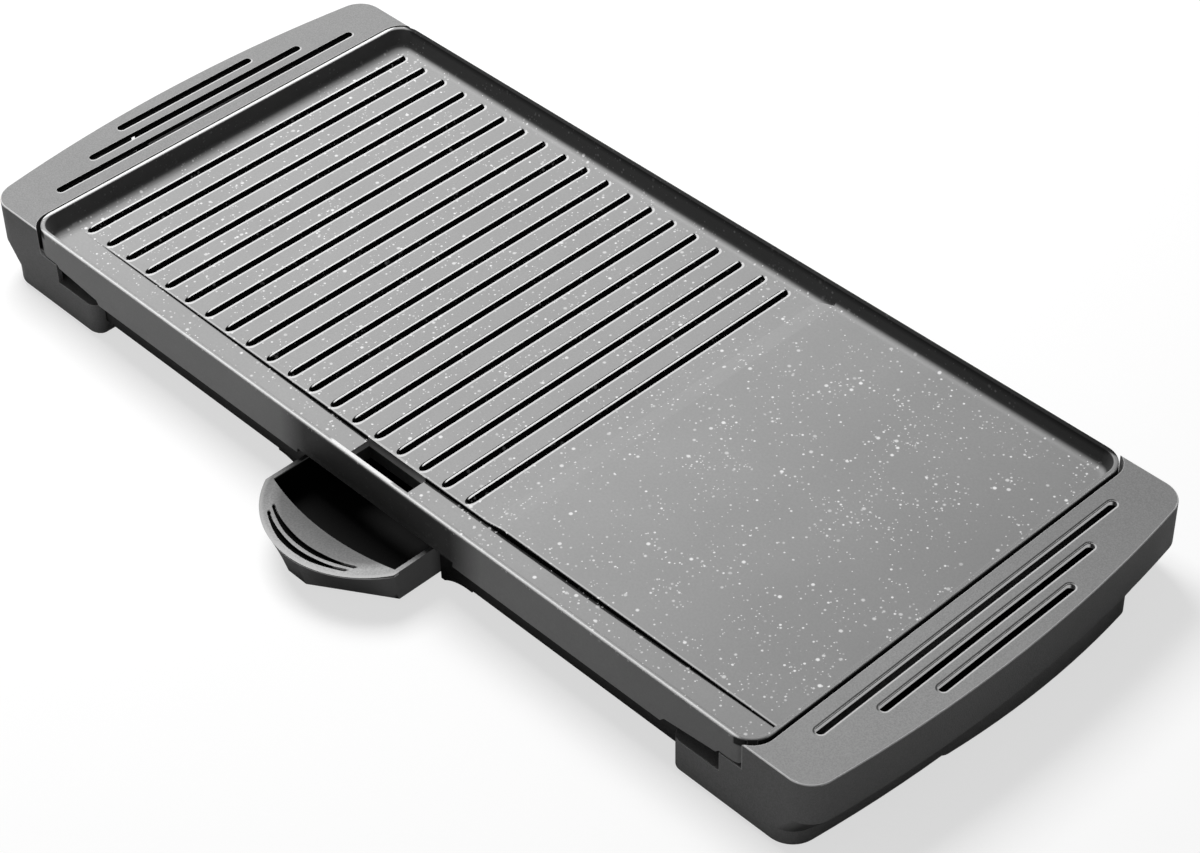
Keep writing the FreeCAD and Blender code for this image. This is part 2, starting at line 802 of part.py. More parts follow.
def bay_cove_piece(x):
    """The tray's front wall curves down to the bay's side wall."""
    corner = Vector(x - past, -tray_front, tray_bottom + past)
    low = Vector(x - past, -tray_front, bay_bottom)
    start = Vector(x, -tray_front, bay_bottom)
    middle = Vector(x + bay_cove * cove_run_share, -tray_front,
                    bay_bottom + (tray_bottom - bay_bottom) * cove_rise_share)
    end = Vector(x + bay_cove, -tray_front, tray_bottom)
    top = Vector(x + bay_cove, -tray_front, tray_bottom + past)
    wire = Part.Wire([Part.LineSegment(corner, low).toShape(), Part.LineSegment(low, start).toShape(),
                      Part.Arc(start, middle, end).toShape(), Part.LineSegment(end, top).toShape(),
                      Part.LineSegment(top, corner).toShape()])
    return Part.Face(wire).extrude(Vector(0, tray_wall * 2, 0))


def reflector_screw_places():
    return [(sx * x, sy * reflector_boss_y) for x in reflector_boss_x for sx in (-1, 1) for sy in (-1, 1)]


def heat_reflector():
    """A shallow steel sheet pan under the element, cut away round the drain chute."""
    gap = reflector_side_gap
    half_x = tray_half_length - tray_wall - gap
    half_y = tray_front - tray_wall - gap
    top = reflector_height + reflector_rim
    sheet = reflector_sheet
    outer = rounded_prism(half_x, half_y, reflector_corner, reflector_height, top)
    inner = rounded_prism(half_x - sheet, half_y - sheet, reflector_corner - sheet,
                          reflector_height + sheet, top + past)
    x0, x1, y0, y1 = chute_plan()
    side = chute_side_gap
    opening = box(x0 - side, x1 + side, -tray_front, y1 + side, reflector_height - past, top + past)
    half_notch = reflector_notch_half_width
    notch = box(-half_x - past, -half_x + reflector_corner, -half_notch, half_notch,
                element_z - element_radius - reflector_notch_margin, top + past)
    holes = [post(x, y, 0, top, screw_radius + hole_clearance) for x, y in reflector_screw_places()]
    holes += [post(x, y, 0, top, rivet_radius + hole_clearance) for x, y in chute_rivet_places()]
    return cut_all(outer.cut(inner), [opening, notch] + holes)


def reflector_screws():
    """Pan heads on top of the reflector, shanks down into the tray's bosses."""
    screws = []
    level = reflector_height + reflector_sheet
    for x, y in reflector_screw_places():
        one = screw(x, y, 0, screw_length, screw_head_radius, screw_head_height, screw_radius)
        one.rotate(Vector(x, y, 0), Vector(1, 0, 0), 180)
        one.translate(Vector(0, 0, level))
        screws.append(one)
    return screws


def frame_screws():
    """Screws along X join the tray's end walls to the two housings."""
    screws = []
    for y, z in frame_screw_places():
        one = screw(0, 0, 0, frame_screw_length, screw_head_radius, screw_head_height, screw_radius)
        one.rotate(Vector(0, 0, 0), Vector(0, 1, 0), 90)
        one.translate(Vector(tray_half_length - tray_wall, y, z))
        screws.append(one)
    return screws + [turned_half(each) for each in screws]


def chute_plan():
    """Outer plan of the chute under the drain: x0, x1, y0, y1."""
    half = drain_length / 2 + chute_overlap
    front = -(tray_front - tray_wall - chute_front_gap)
    return drain_x - half, drain_x + half, front, drain_back + chute_overlap


def chute_rivet_places():
    x0, x1, y0, y1 = chute_plan()
    return [(x0 - chute_flange / 2, (y0 + y1) / 2), (x1 + chute_flange / 2, (y0 + y1) / 2)]


def drain_chute():
    """A short square spout that leads grease from the plate down into the drawer."""
    x0, x1, y0, y1 = chute_plan()
    top = strip_level - chute_top_gap
    w = chute_wall
    tube = box(x0, x1, y0, y1, chute_bottom, top)
    level = reflector_height + reflector_sheet
    flange_front = -(tray_front - tray_wall - reflector_side_gap - reflector_sheet - chute_front_gap)
    flange = box(x0 - chute_flange, x1 + chute_flange, flange_front, y1 + chute_flange, level, level + w)
    mouth = box(x0 + w, x1 - w, y0 + w, y1 - w, chute_bottom - past, top + past)
    holes = [post(x, y, level - past, level + w + past, rivet_radius + hole_clearance)
             for x, y in chute_rivet_places()]
    return cut_all(tube.fuse(flange), [mouth] + holes)


def chute_rivets():
    level = reflector_height
    top = level + reflector_sheet + chute_wall
    rivets = []
    for x, y in chute_rivet_places():
        rivets.append(joined([post(x, y, level - rivet_head_height, level, rivet_head_radius),
                              post(x, y, level, top, rivet_radius),
                              post(x, y, top, top + rivet_head_height, rivet_head_radius)]))
    return rivets


def drawer_rail(side):
    """An angle strip on one wall of the bay; the drawer slides on its ledge."""
    wall_face = bay_half_width - rail_wall_gap
    top_of_ledge = drawer_bottom - rail_clearance
    y0 = -tray_front + rail_setback
    y1 = bay_back - rail_back_gap
    low = top_of_ledge - rail_sheet
    upright = box(wall_face - rail_sheet, wall_face, y0, y1, low, low + rail_height)
    ledge = box(wall_face - rail_ledge, wall_face, y0, y1, low, top_of_ledge)
    rail = upright.fuse(ledge)
    for y in rail_rivet_ys():
        hole = rod_along_x(wall_face - 2 * rail_sheet, wall_face + rail_sheet, y, rail_rivet_z(),
                           rivet_radius + hole_clearance)
        rail = rail.cut(hole)
    if side < 0:
        rail = rail.mirror(Vector(0, 0, 0), Vector(1, 0, 0))
    rail.translate(Vector(drain_x, 0, 0))
    return rail.removeSplitter()


def rail_rivet_ys():
    run = rail_rivet_setback
    return (-tray_front + rail_setback + run, bay_back - rail_back_gap - run)


def rail_rivet_z():
    return bay_bottom + rail_rivet_height


def rail_rivet_rods():
    """Axis spans through the bay's walls: x0, x1, y, z."""
    reach = bay_half_width + bay_wall + past
    z = rail_rivet_z()
    rods = []
    for y in rail_rivet_ys():
        rods.append((drain_x + bay_half_width - past, drain_x + reach, y, z))
        rods.append((drain_x - reach, drain_x - bay_half_width + past, y, z))
    return rods


def rail_rivets():
    rivets = []
    inner = bay_half_width - rail_wall_gap - rail_sheet
    outer = bay_half_width + bay_wall
    head = rivet_head_height
    for y in rail_rivet_ys():
        for side in (-1, 1):
            spans = ((inner - head, inner, rivet_head_radius), (inner, outer, rivet_radius),
                     (outer, outer + head, rivet_head_radius))
            parts = []
            for a, b, radius in spans:
                x0, x1 = sorted((drain_x + side * a, drain_x + side * b))
                parts.append(rod_along_x(x0, x1, y, rail_rivet_z(), radius))
            rivets.append(joined(parts))
    return rivets


def bumper_places():
    height = bay_bottom + bumper_height
    return [(drain_x + side * bumper_x, height) for side in (-1, 1)]


def drawer_bumpers():
    """Rubber stops on the back wall of the bay."""
    bumpers = []
    wall_back = bay_back + bay_wall + neck_gap
    for x, z in bumper_places():
        face = rod_along_y(x, bay_back - bumper_depth, bay_back, z, bumper_radius)
        stem = rod_along_y(x, bay_back, wall_back, z, bumper_stem_radius)
        barb = rod_along_y(x, wall_back, wall_back + bumper_barb_depth, z,
                           bumper_stem_radius + bumper_barb_rise)
        bumpers.append(joined([face, stem, barb]))
    return bumpers


def arc_point(radius, apex_y, x):
    """A point at x on a front arc that bulges towards -Y, with its apex at apex_y."""
    return apex_y + radius - math.sqrt(radius ** 2 - x ** 2)


def drawer_wire(half, back_y, radius, apex_y, z):
    """Plan with a round front in three arcs, which match the sides and the nose."""
    nose = drawer_nose_half_width

    def arc(xa, xb):
        middle = (xa + xb) / 2
        ends = [Vector(x, arc_point(radius, apex_y, x), z) for x in (xa, middle, xb)]
        return Part.Arc(*ends).toShape()

    side_y = arc_point(radius, apex_y, half)
    points = [Vector(half, side_y, z), Vector(half, back_y, z),
              Vector(-half, back_y, z), Vector(-half, side_y, z)]
    lines = [Part.LineSegment(points[k], points[k + 1]).toShape() for k in range(3)]
    return Part.Wire([arc(-half, -nose), arc(-nose, nose), arc(nose, half)] + lines)


def drawer_foot_wire(half, back_y, radius, apex_y, z):
    """The same plan with straight facets in place of the arcs."""
    nose = drawer_nose_half_width
    side_y = arc_point(radius, apex_y, half)
    points = [Vector(-half, side_y, z), Vector(-nose, apex_y, z), Vector(nose, apex_y, z),
              Vector(half, side_y, z), Vector(half, back_y, z), Vector(-half, back_y, z)]
    return Part.makePolygon(points + points[:1])


def drawer_block(inset):
    """The drawer's outer form, or the same form inset by a wall."""
    top = drawer_wire(drawer_half_width - inset, drawer_back - inset, drawer_lip_radius - inset,
                      -drawer_front_reach + inset, drawer_top)
    half = drawer_half_width - drawer_side_taper - inset
    low = drawer_foot_wire(half, drawer_back - drawer_side_taper - inset, drawer_lip_radius - inset,
                           -drawer_front_reach + drawer_front_taper + inset, drawer_bottom)
    return Part.makeLoft([low, top], True, True)


def drawer_inside(grow, floor):
    """The space for grease, or the same space grown by a wall."""
    apex = -drawer_front_reach + drawer_lip_depth - grow
    half = drawer_half_width - drawer_wall + grow
    back = drawer_back - drawer_wall + grow
    top = drawer_wire(half, back, drawer_inside_radius, apex, drawer_top + drawer_skin)
    low = drawer_wire(half - drawer_side_taper, back - drawer_side_taper,
                      drawer_inside_radius, apex + drawer_side_taper, floor)
    return Part.makeLoft([low, top], True, True)


def grip_groove(inset, radius, half_span):
    """A curved groove in the drawer's lip."""
    angle = math.degrees(math.asin(half_span / radius))
    centre = Vector(0, -drawer_front_reach + inset + radius, drawer_top - groove_depth)
    height = groove_depth + past
    ring = Part.makeCylinder(radius + groove_width / 2, height, centre, Vector(0, 0, 1), 2 * angle)
    core = Part.makeCylinder(radius - groove_width / 2, height, centre)
    ring = ring.cut(core)
    ring.rotate(centre, Vector(0, 0, 1), -90 - angle)
    return ring


def grease_drawer():
    """One moulding: a tray, and a crescent lip that is hollow underneath for the fingers."""
    inside = drawer_inside(0, drawer_bottom + drawer_floor)
    under_lip = drawer_block(drawer_wall).cut(drawer_inside(drawer_wall, drawer_bottom - past))
    under_lip = under_lip.common(box(-drawer_half_width, drawer_half_width, -drawer_front_reach,
                                     -drawer_front_reach + drawer_lip_depth + lip_room,
                                     drawer_bottom - past, drawer_top - drawer_wall))
    lower = [solid for solid in under_lip.Solids if solid.Volume > least_hollow]
    grooves = [grip_groove(*groove) for groove in zip(groove_insets, groove_radii, groove_half_spans)]
    body = drawer_block(0).cut([inside] + lower + grooves)
    body.translate(Vector(drain_x, 0, 0))
    return body


def rounded_path(points, radius, z):
    """Straight runs joined by tangent arcs."""
    vectors = [Vector(x, y, z) for x, y in points]
    edges = []
    start = vectors[0]
    for k in range(1, len(vectors) - 1):
        to_last = (vectors[k - 1] - vectors[k]).normalize()
        to_next = (vectors[k + 1] - vectors[k]).normalize()
        enter = vectors[k] + to_last * radius
        leave = vectors[k] + to_next * radius
        centre = vectors[k] + (to_last + to_next) * radius
        middle = centre + (vectors[k] - centre).normalize() * radius
        if (enter - start).Length > 1e-6:
            edges.append(Part.LineSegment(start, enter).toShape())
        edges.append(Part.Arc(enter, middle, leave).toShape())
        start = leave
    edges.append(Part.LineSegment(start, vectors[-1]).toShape())
    return Part.Wire(edges)


def heating_element():
    """One tube in four long runs under the plate, both ends at the left."""
    outer = element_outer_y
    inner = element_inner_y
    half = [(-terminal_x, terminal_y), (-element_end_x, terminal_y), (-element_end_x, outer),
            (element_end_x, outer), (element_end_x, inner), (-element_middle_x, inner)]
    path = rounded_path(half + [(x, -y) for x, y in reversed(half)], element_bend, element_z)
    circle = Part.makeCircle(element_radius, Vector(-terminal_x, terminal_y, element_z), Vector(1, 0, 0))
    return path.makePipeShell([Part.Wire(circle)], True, False)


def element_clips():
    """Saddle clips of steel strip round the element's runs, feet against the plate."""
    inner = element_radius + element_gap
    outer = inner + clip_sheet
    half = clip_width / 2
    clips = []
    for x in clip_places:
        for run in (-element_outer_y, -element_inner_y, element_inner_y, element_outer_y):
            arch = rod_along_x(x - half, x + half, run, element_z, outer)
            sides = box(x - half, x + half, run - outer, run + outer, element_z, underside)
            feet = box(x - half, x + half, run - outer - clip_foot, run + outer + clip_foot,
                       underside - clip_sheet, underside)
            x0 = x - half - past
            x1 = x + half + past
            bore = rod_along_x(x0, x1, run, element_z, inner)
            way = box(x0, x1, run - inner, run + inner, element_z, underside + past)
            side = outer + clip_foot / 2
            holes = [post(x, run + s * side, underside - clip_sheet - past, underside + past,
                          screw_radius + hole_clearance) for s in (-1, 1)]
            clips.append(cut_all(arch.fuse([sides, feet]), [bore, way] + holes))
    return clips


def clip_screws():
    seat = underside - clip_sheet
    return [screw(x, y, seat, underside + clip_screw_grip, clip_screw_head_radius,
                  clip_screw_head_height, screw_radius) for x, y in clip_screw_places()]


def terminal_bracket():
    """A steel angle under the plate that carries the terminals."""
    back = -bracket_x + bracket_sheet
    x0 = -bracket_x - past
    x1 = back + past
    upright = box(-bracket_x, back, -bracket_half_width, bracket_half_width, bracket_bottom, underside)
    foot = box(back, back + bracket_foot, -bracket_half_width, bracket_half_width,
               underside - bracket_sheet, underside)
    bead_hole = terminal_pin_radius + insulator_neck + neck_gap
    low = underside - 2 * bracket_sheet
    room = element_radius + bracket_room
    cuts = [rod_along_x(x0, x1, 0, probe_z(), probe_outer_radius + snug_gap),
            rod_along_x(x0, x1, earth_y, probe_z(), rivet_radius + hole_clearance)]
    for side in (-1, 1):
        y = side * terminal_y
        cuts.append(rod_along_x(x0, x1, y, element_z, bead_hole))
        cuts.append(box(back, x1 + bracket_foot, y - room, y + room, low, underside + past))
    for x, y in bracket_screw_places():
        cuts.append(post(x, y, low, underside + past, screw_radius + hole_clearance))
    return cut_all(upright.fuse(foot), cuts)


def probe_z():
    return element_z - probe_drop


def bracket_screws():
    seat = underside - bracket_sheet
    return [screw(x, y, seat, underside + clip_screw_grip, clip_screw_head_radius,
                  clip_screw_head_height, screw_radius) for x, y in bracket_screw_places()]


def terminal_insulators():
    """Ceramic beads round the pins on the outer face of the bracket."""
    beads = []
    for side in (-1, 1):
        y = side * terminal_y
        x1 = -bracket_x
        bead = rod_along_x(x1 - insulator_length, x1, y, element_z, insulator_radius)
        nose = [edge for edge in bead.Edges if abs(edge.BoundBox.XMax - (x1 - insulator_length)) < 0.01]
        bead = bead.makeFillet(insulator_rounding, nose)
        neck = rod_along_x(x1, x1 + bracket_sheet + insulator_neck_overhang, y, element_z,
                           terminal_pin_radius + insulator_neck)
        bore = rod_along_x(x1 - insulator_length - past, x1 + bracket_sheet + 2 * past, y, element_z,
                           terminal_pin_radius + snug_gap)
        beads.append(cut_all(bead.fuse(neck), [bore]))
    return beads


def terminal_pins():
    """The element's two cold pins, which the thermostat plug pushes onto."""
    pins = []
    for side in (-1, 1):
        x1 = -terminal_x
        pin = rod_along_x(x1 - terminal_pin_length, x1, side * terminal_y, element_z, terminal_pin_radius)
        nose = [edge for edge in pin.Edges if abs(edge.BoundBox.XMax - (x1 - terminal_pin_length)) < 0.01]
        pins.append(pin.makeFillet(pin_rounding, nose))
    return pins


def probe_tube():
    """A blind guide tube between the pins for the thermostat's feeler."""
    x1 = -bracket_x + probe_run_inside
    x0 = x1 - probe_length
    tube = rod_along_x(x0, x1, 0, probe_z(), probe_outer_radius)
    bore = rod_along_x(x0 - past, x1 - probe_end_wall, 0, probe_z(), probe_inner_radius)
    return tube.cut(bore)


def earth_contact():
    """A bent earth tongue beside one pin, with its rivet."""
    x1 = -bracket_x
    y0 = earth_y - earth_sheet / 2 - earth_setback
    low = probe_z() - earth_half_height
    high = probe_z() + earth_half_height
    tongue = box(x1 - earth_length, x1, y0, y0 + earth_sheet, low, high)
    base = box(x1 - earth_sheet, x1, y0, earth_y + earth_foot, low, high)
    shank = rod_along_x(x1 - earth_sheet, x1 + bracket_sheet, earth_y, probe_z(), rivet_radius)
    head = rod_along_x(x1 + bracket_sheet, x1 + bracket_sheet + rivet_head_height, earth_y, probe_z(),
                       rivet_head_radius)
    return joined([tongue, base, shank, head])


def save(name, shape):
    pieces = shape if isinstance(shape, list) else [shape]
    solids = []
    for piece in pieces:
        solids += piece.Solids
    whole = solids[0] if len(solids) == 1 else Part.makeCompound(solids)
    whole.translate(Vector(0, footprint_shift, 0))
    whole.exportStep("parts/" + name + ".step")
    box_size = whole.BoundBox
    print("%-20s solids %2d  valid %s  volume %9.1f  x %.1f %.1f  y %.1f %.1f  z %.1f %.1f" % (
        name, len(solids), whole.isValid(), whole.Volume, box_size.XMin, box_size.XMax,
        box_size.YMin, box_size.YMax, box_size.ZMin, box_size.ZMax))


os.makedirs("parts", exist_ok=True)
save("grill_plate", grill_plate())
save("heating_element", heating_element())
save("element_clips", element_clips())
save("clip_screws", clip_screws())
save("terminal_bracket", terminal_bracket())
save("bracket_screws", bracket_screws())
save("terminal_insulators", terminal_insulators())
save("terminal_pins", terminal_pins())
save("probe_tube", probe_tube())
save("earth_contact", earth_contact())
save("base_tray", base_tray())
save("right_end_housing", end_housing(True))
save("left_end_housing", left_end_housing())
save("right_bottom_cover", bottom_cover())
save("left_bottom_cover", turned_half(bottom_cover()))
save("cover_screws", cover_screws())
save("frame_screws", frame_screws())
save("foot_pads", foot_pads())
save("plate_rest_pads", plate_rest_pads())
save("heat_reflector", heat_reflector())
save("reflector_screws", reflector_screws())
save("drain_chute", drain_chute())
save("chute_rivets", chute_rivets())
save("drawer_rail_left", drawer_rail(-1))
save("drawer_rail_right", drawer_rail(1))
save("rail_rivets", rail_rivets())
save("drawer_bumpers", drawer_bumpers())
save("inlet_sleeve", inlet_sleeve())
save("grease_drawer", grease_drawer())
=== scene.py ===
import json
import math
import bmesh
import bpy
from mathutils import Matrix, Vector


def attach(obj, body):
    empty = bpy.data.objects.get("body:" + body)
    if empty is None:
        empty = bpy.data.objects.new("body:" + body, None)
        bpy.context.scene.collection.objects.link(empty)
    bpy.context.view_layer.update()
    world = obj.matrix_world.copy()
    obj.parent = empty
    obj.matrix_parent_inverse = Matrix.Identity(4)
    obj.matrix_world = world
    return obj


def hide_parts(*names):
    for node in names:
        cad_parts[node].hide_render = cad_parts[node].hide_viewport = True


# An open electric table grill with a ribbed, speckled plate, two grey end housings, a black
# lower tray and a black grease drawer. Metres; the front is towards -Y; the table is Z = 0.

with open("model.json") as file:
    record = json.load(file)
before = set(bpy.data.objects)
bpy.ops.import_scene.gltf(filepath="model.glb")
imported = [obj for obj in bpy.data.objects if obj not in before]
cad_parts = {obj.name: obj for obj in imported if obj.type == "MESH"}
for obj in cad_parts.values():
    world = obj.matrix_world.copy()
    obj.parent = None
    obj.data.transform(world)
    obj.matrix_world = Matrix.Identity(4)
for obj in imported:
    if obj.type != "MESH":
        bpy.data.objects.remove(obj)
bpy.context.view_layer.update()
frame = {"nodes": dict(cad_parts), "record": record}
nodes = frame["nodes"]
scene = bpy.context.scene

# The plate. Depths run from its centre line, which lies at PLATE_MIDDLE_Y.
RIM_TOP = 0.046
PLATE_MIDDLE_Y = 0.0218
BASIN_HALF_LENGTH, BASIN_HALF_WIDTH = 0.2366, 0.1166
RIM_HALF_LENGTH, RIM_HALF_WIDTH = 0.239, 0.119
ROUNDED_CORNER_X = (0.2278, 0.2288)
# painted shade darkens the coating from the first X to the second
DARKER_END_X = (0.06, 0.235)
LEFT_WALL_X = (-0.228, -0.232)
BACK_WALL_Z = (0.041, 0.043)
SHADE_LEFT_X, SHADE_RIGHT_X = (-0.0530, -0.0360), (0.0800, 0.0600)

# The ribs, which follow one rule
RIB_SIZES = {
    "Count": 19, "Pitch": 0.01503, "First X": -0.22525, "Front Y": -0.0746, "Back Y": 0.1300,
    "Floor Z": 0.0351, "Height": 0.0019, "Base Width": 0.0049, "Crest Width": 0.0010,
    "Front Taper": 0.0048, "Back Taper": 0.0032,
}
RIB_SINK = 0.3          # share of a rib's height by which its foot reaches into the floor
RIB_STEPS = 260
RIB_ROUNDING, RIB_ROUNDING_STEPS = 0.00018, 4
RIB_TIP_SCALE = 0.02

# The drain channel's step, its shadow line and the drain slot
STEP_DEPTH = -0.0978
STEP_END_X = (-0.214, -0.203)
STEP_FOOT_Z = 0.0346
STEP_TOP_Z = 0.0380
STEP_WALL_Z = (0.0372, 0.0364)
STEP_LINE_Z = (0.0385, 0.0375)
LINE_WIDENS_X, LINE_WIDTHS = (-0.12, 0.10), (0.0003, 0.0013)
LINE_NARROWS_X = (0.13, 0.225)
DRAIN_LEFT, DRAIN_RIGHT = -0.0176, 0.0206
DRAIN_WIDTH = 0.0130
DRAIN_WALL_Z = (0.0355, 0.0310)

# The three slots of each end housing, and its pocket under the plate's corner
SLOT_PLACES = (0.2505, 0.2602, 0.2698)
SLOT_HALF_LENGTHS = (0.0943, 0.0672, 0.0425)
SLOT_HALF_WIDTH = 0.0022
SLOT_LIGHT_Z = (0.0422, 0.0444)
POCKET_START, POCKET_END = 0.1932, 0.2208
POCKET_LOW, POCKET_HIGH = 0.0198, 0.0300

# The drawer: a round lip, a bowl behind a wider arc, and two grip grooves in the lip
DRAWER_X = 0.0015
DRAWER_TOP = 0.0205
DRAWER_INSIDE_X = 0.0412
LIP_FRONT_Y = -0.1418
LIP_RADIUS = 0.050
LIP_CENTRE_Y = LIP_FRONT_Y + LIP_RADIUS
BOWL_RADIUS = 0.143
BOWL_CENTRE_Y = LIP_FRONT_Y + 0.0215 + BOWL_RADIUS
GRIP_GROOVES = (
    {"inset": 0.0048, "radius": 0.0490, "half_span": 0.0262},
    {"inset": 0.0093, "radius": 0.0575, "half_span": 0.0277},
)
GROOVE_WIDTHS = (0.0005, 0.0013)

# Feet and cover screws: outlines as (radius, height) from the axis, and the rows they stand in
FOOT_SIZES = {
    "Inner X": 0.2130, "Outer X": 0.2501, "Half Span": 0.0880, "Middle Y": PLATE_MIDDLE_Y, "Sides": 48,
}
FOOT_OUTLINE = (
    (0.0, 0.0004), (0.0022, 0.0004), (0.0024, 0.0), (0.0036, 0.0), (0.0038, 0.0004), (0.0052, 0.0004),
    (0.0054, 0.0), (0.0074, 0.0), (0.0078, 0.0001), (0.0080, 0.0004), (0.0080, 0.0008), (0.0025, 0.00081),
    (0.0025, 0.0029), (0.0035, 0.00291), (0.0035, 0.0031), (0.0026, 0.0043), (0.0, 0.00431),
)
SCREW_SIZES = {
    "Inner X": 0.2030, "Outer X": 0.2550, "Half Span": 0.1050, "Middle Y": PLATE_MIDDLE_Y, "Sides": 40,
    "Recess Length": 0.0033, "Recess Width": 0.0006,
}
SCREW_OUTLINE = (
    (0.0, 0.0001), (0.0021, 0.0001), (0.0026, 0.00025), (0.0029, 0.0005), (0.0030, 0.0008), (0.0030, 0.0014),
    (0.00145, 0.00141), (0.00145, 0.0100), (0.0006, 0.0108), (0.0, 0.01081),
)
RECESS_DEPTH = 0.00075
JOINING_GAP = 0.000004
LEAST_RISE = 0.000001

# Meshing of the plate's copy
SLACK = 0.00015
FLOOR_SLACK = 0.00002
TIP_SLACK = 0.003
WELD_STEPS = 1000000    # points that share a micrometre are one

# Studio
FLOOR_SIZE, FLOOR_Z = 14.0, -0.0002
WORLD_STRENGTH = 0.10
CAMERA_AZIMUTH, CAMERA_HEIGHT, CAMERA_ROLL = 46.48550776, 42.0011551, -1.15705812
CAMERA_TARGET = (0.05977004, -0.0066984, RIM_TOP)
CAMERA_DISTANCE = 1.34165731
CAMERA_LENS, CAMERA_SENSOR = 91.092, 36.0


# Node helpers

def start_material(name):
    material = bpy.data.materials.new(name)
    material.use_nodes = True
    tree = material.node_tree
    surface = tree.nodes["Principled BSDF"]
    coords = tree.nodes.new("ShaderNodeTexCoord")
    return material, tree, surface, coords.outputs["Object"]


def noise(tree, coords, size, detail=2.0, roughness=0.5):
    """Noise from 0 to 1 whose blotches are about size metres wide."""
    node = tree.nodes.new("ShaderNodeTexNoise")
    node.inputs["Scale"].default_value = 1.0 / size
    node.inputs["Detail"].default_value = detail
    node.inputs["Roughness"].default_value = roughness
    tree.links.new(coords, node.inputs["Vector"])
    return node.outputs["Fac"]


def calculate(tree, operation, first, second=None):
    node = tree.nodes.new("ShaderNodeMath")
    node.operation = operation
    for socket, value in zip(node.inputs, (first, second)):
        if value is None:
            continue
        if isinstance(value, (int, float)):
            socket.default_value = value
        else:
            tree.links.new(value, socket)
    return node.outputs[0]


def spread(tree, value, low, high, to_low=0.0, to_high=1.0, smooth=False):
    """The part of value between low and high, stretched over to_low to to_high."""
    node = tree.nodes.new("ShaderNodeMapRange")
    node.interpolation_type = "SMOOTHSTEP" if smooth else "LINEAR"
    tree.links.new(value, node.inputs["Value"])
    for name, number in (("From Min", low), ("From Max", high), ("To Min", to_low), ("To Max", to_high)):
        node.inputs[name].default_value = number
    return node.outputs["Result"]


def opposite(tree, mask):
    return spread(tree, mask, 0.0, 1.0, to_low=1.0, to_high=0.0)


def both(tree, *masks):
    """The product of several masks."""
    result = masks[0]
    for mask in masks[1:]:
        result = calculate(tree, "MULTIPLY", result, mask)
    return result


def either(tree, *masks):
    """The largest of several masks."""
    result = masks[0]
    for mask in masks[1:]:
        result = calculate(tree, "MAXIMUM", result, mask)
    return result


def distance(tree, across, along):
    squares = [both(tree, side, side) for side in (across, along)]
    return calculate(tree, "SQRT", calculate(tree, "ADD", *squares))


def around(tree, value, middle, half, soft):
    """1 where value is within half of middle, fading to 0 over soft."""
    away = calculate(tree, "ABSOLUTE", calculate(tree, "SUBTRACT", value, middle))
    return spread(tree, away, half, half + soft, to_low=1.0, to_high=0.0)


def within(tree, value, low, high, soft):
    """1 where value is from low to high, fading to 0 over soft outside them."""
    return around(tree, value, (low + high) / 2, (high - low) / 2, soft)


def away_from_bar(tree, across, along, half_length, half_width):
    """How far a point lies outside a round-ended bar, from its places across and along it."""
    past_end = calculate(tree, "SUBTRACT", calculate(tree, "ABSOLUTE", along), half_length - half_width)
    past_end = calculate(tree, "MAXIMUM", past_end, 0.0)
    return calculate(tree, "SUBTRACT", distance(tree, across, past_end), half_width)


def grey(value, warmth=0.0):
    return (value * (1 + warmth), value, value * (1 - warmth))


def blend(tree, factor, first, second):
    node = tree.nodes.new("ShaderNodeMix")
    node.data_type = "RGBA"
    sockets = [s for s in node.inputs if s.type == "RGBA"]
    for socket, value in ((node.inputs["Factor"], factor), (sockets[0], first), (sockets[1], second)):
        if isinstance(value, tuple):
            socket.default_value = value + (1.0,)
        else:
            tree.links.new(value, socket)
    return [s for s in node.outputs if s.type == "RGBA"][0]


def paint(tree, colour, tone, *masks):
    """The colour with a grey tone laid over it where every mask is high."""
    return blend(tree, both(tree, *masks), colour, grey(tone))


def bump(tree, surface, height, relief, strength, below=None):
    node = tree.nodes.new("ShaderNodeBump")
    node.inputs["Distance"].default_value = relief
    node.inputs["Strength"].default_value = strength
    tree.links.new(height, node.inputs["Height"])
    if below is not None:
        tree.links.new(below, node.inputs["Normal"])
    tree.links.new(node.outputs["Normal"], surface.inputs["Normal"])
    return node.outputs["Normal"]


def split_axes(tree, vector):
    node = tree.nodes.new("ShaderNodeSeparateXYZ")
    tree.links.new(vector, node.inputs[0])
    return node.outputs["X"], node.outputs["Y"], node.outputs["Z"]


def facing(tree):
    """The true face's direction as three shares; the last is 1 on tops and -1 on undersides."""
    geometry = tree.nodes.new("ShaderNodeNewGeometry")
    turn = tree.nodes.new("ShaderNodeVectorTransform")
    turn.vector_type = "NORMAL"
    turn.convert_from = "WORLD"
    turn.convert_to = "OBJECT"
    tree.links.new(geometry.outputs["Normal"], turn.inputs[0])
    return split_axes(tree, turn.outputs[0])


def edge_mask(tree, radius, low, high):
    """Near 1 on outer edges and in creases narrower than radius, 0 on flat faces."""
    rounded = tree.nodes.new("ShaderNodeBevel")
    rounded.samples = 4
    rounded.inputs["Radius"].default_value = radius
    plain = tree.nodes.new("ShaderNodeNewGeometry")
    dot = tree.nodes.new("ShaderNodeVectorMath")
    dot.operation = "DOT_PRODUCT"
    tree.links.new(rounded.outputs["Normal"], dot.inputs[0])
    tree.links.new(plain.outputs["Normal"], dot.inputs[1])
    return spread(tree, dot.outputs["Value"], high, low)


def glow(tree, surface, strength):
    """A painted glow: a faint light of the surface's own, standing in for light on a face inside a narrow
    gap.
    """
    surface.inputs["Emission Color"].default_value = (1, 1, 1, 1)
    tree.links.new(strength, surface.inputs["Emission Strength"])
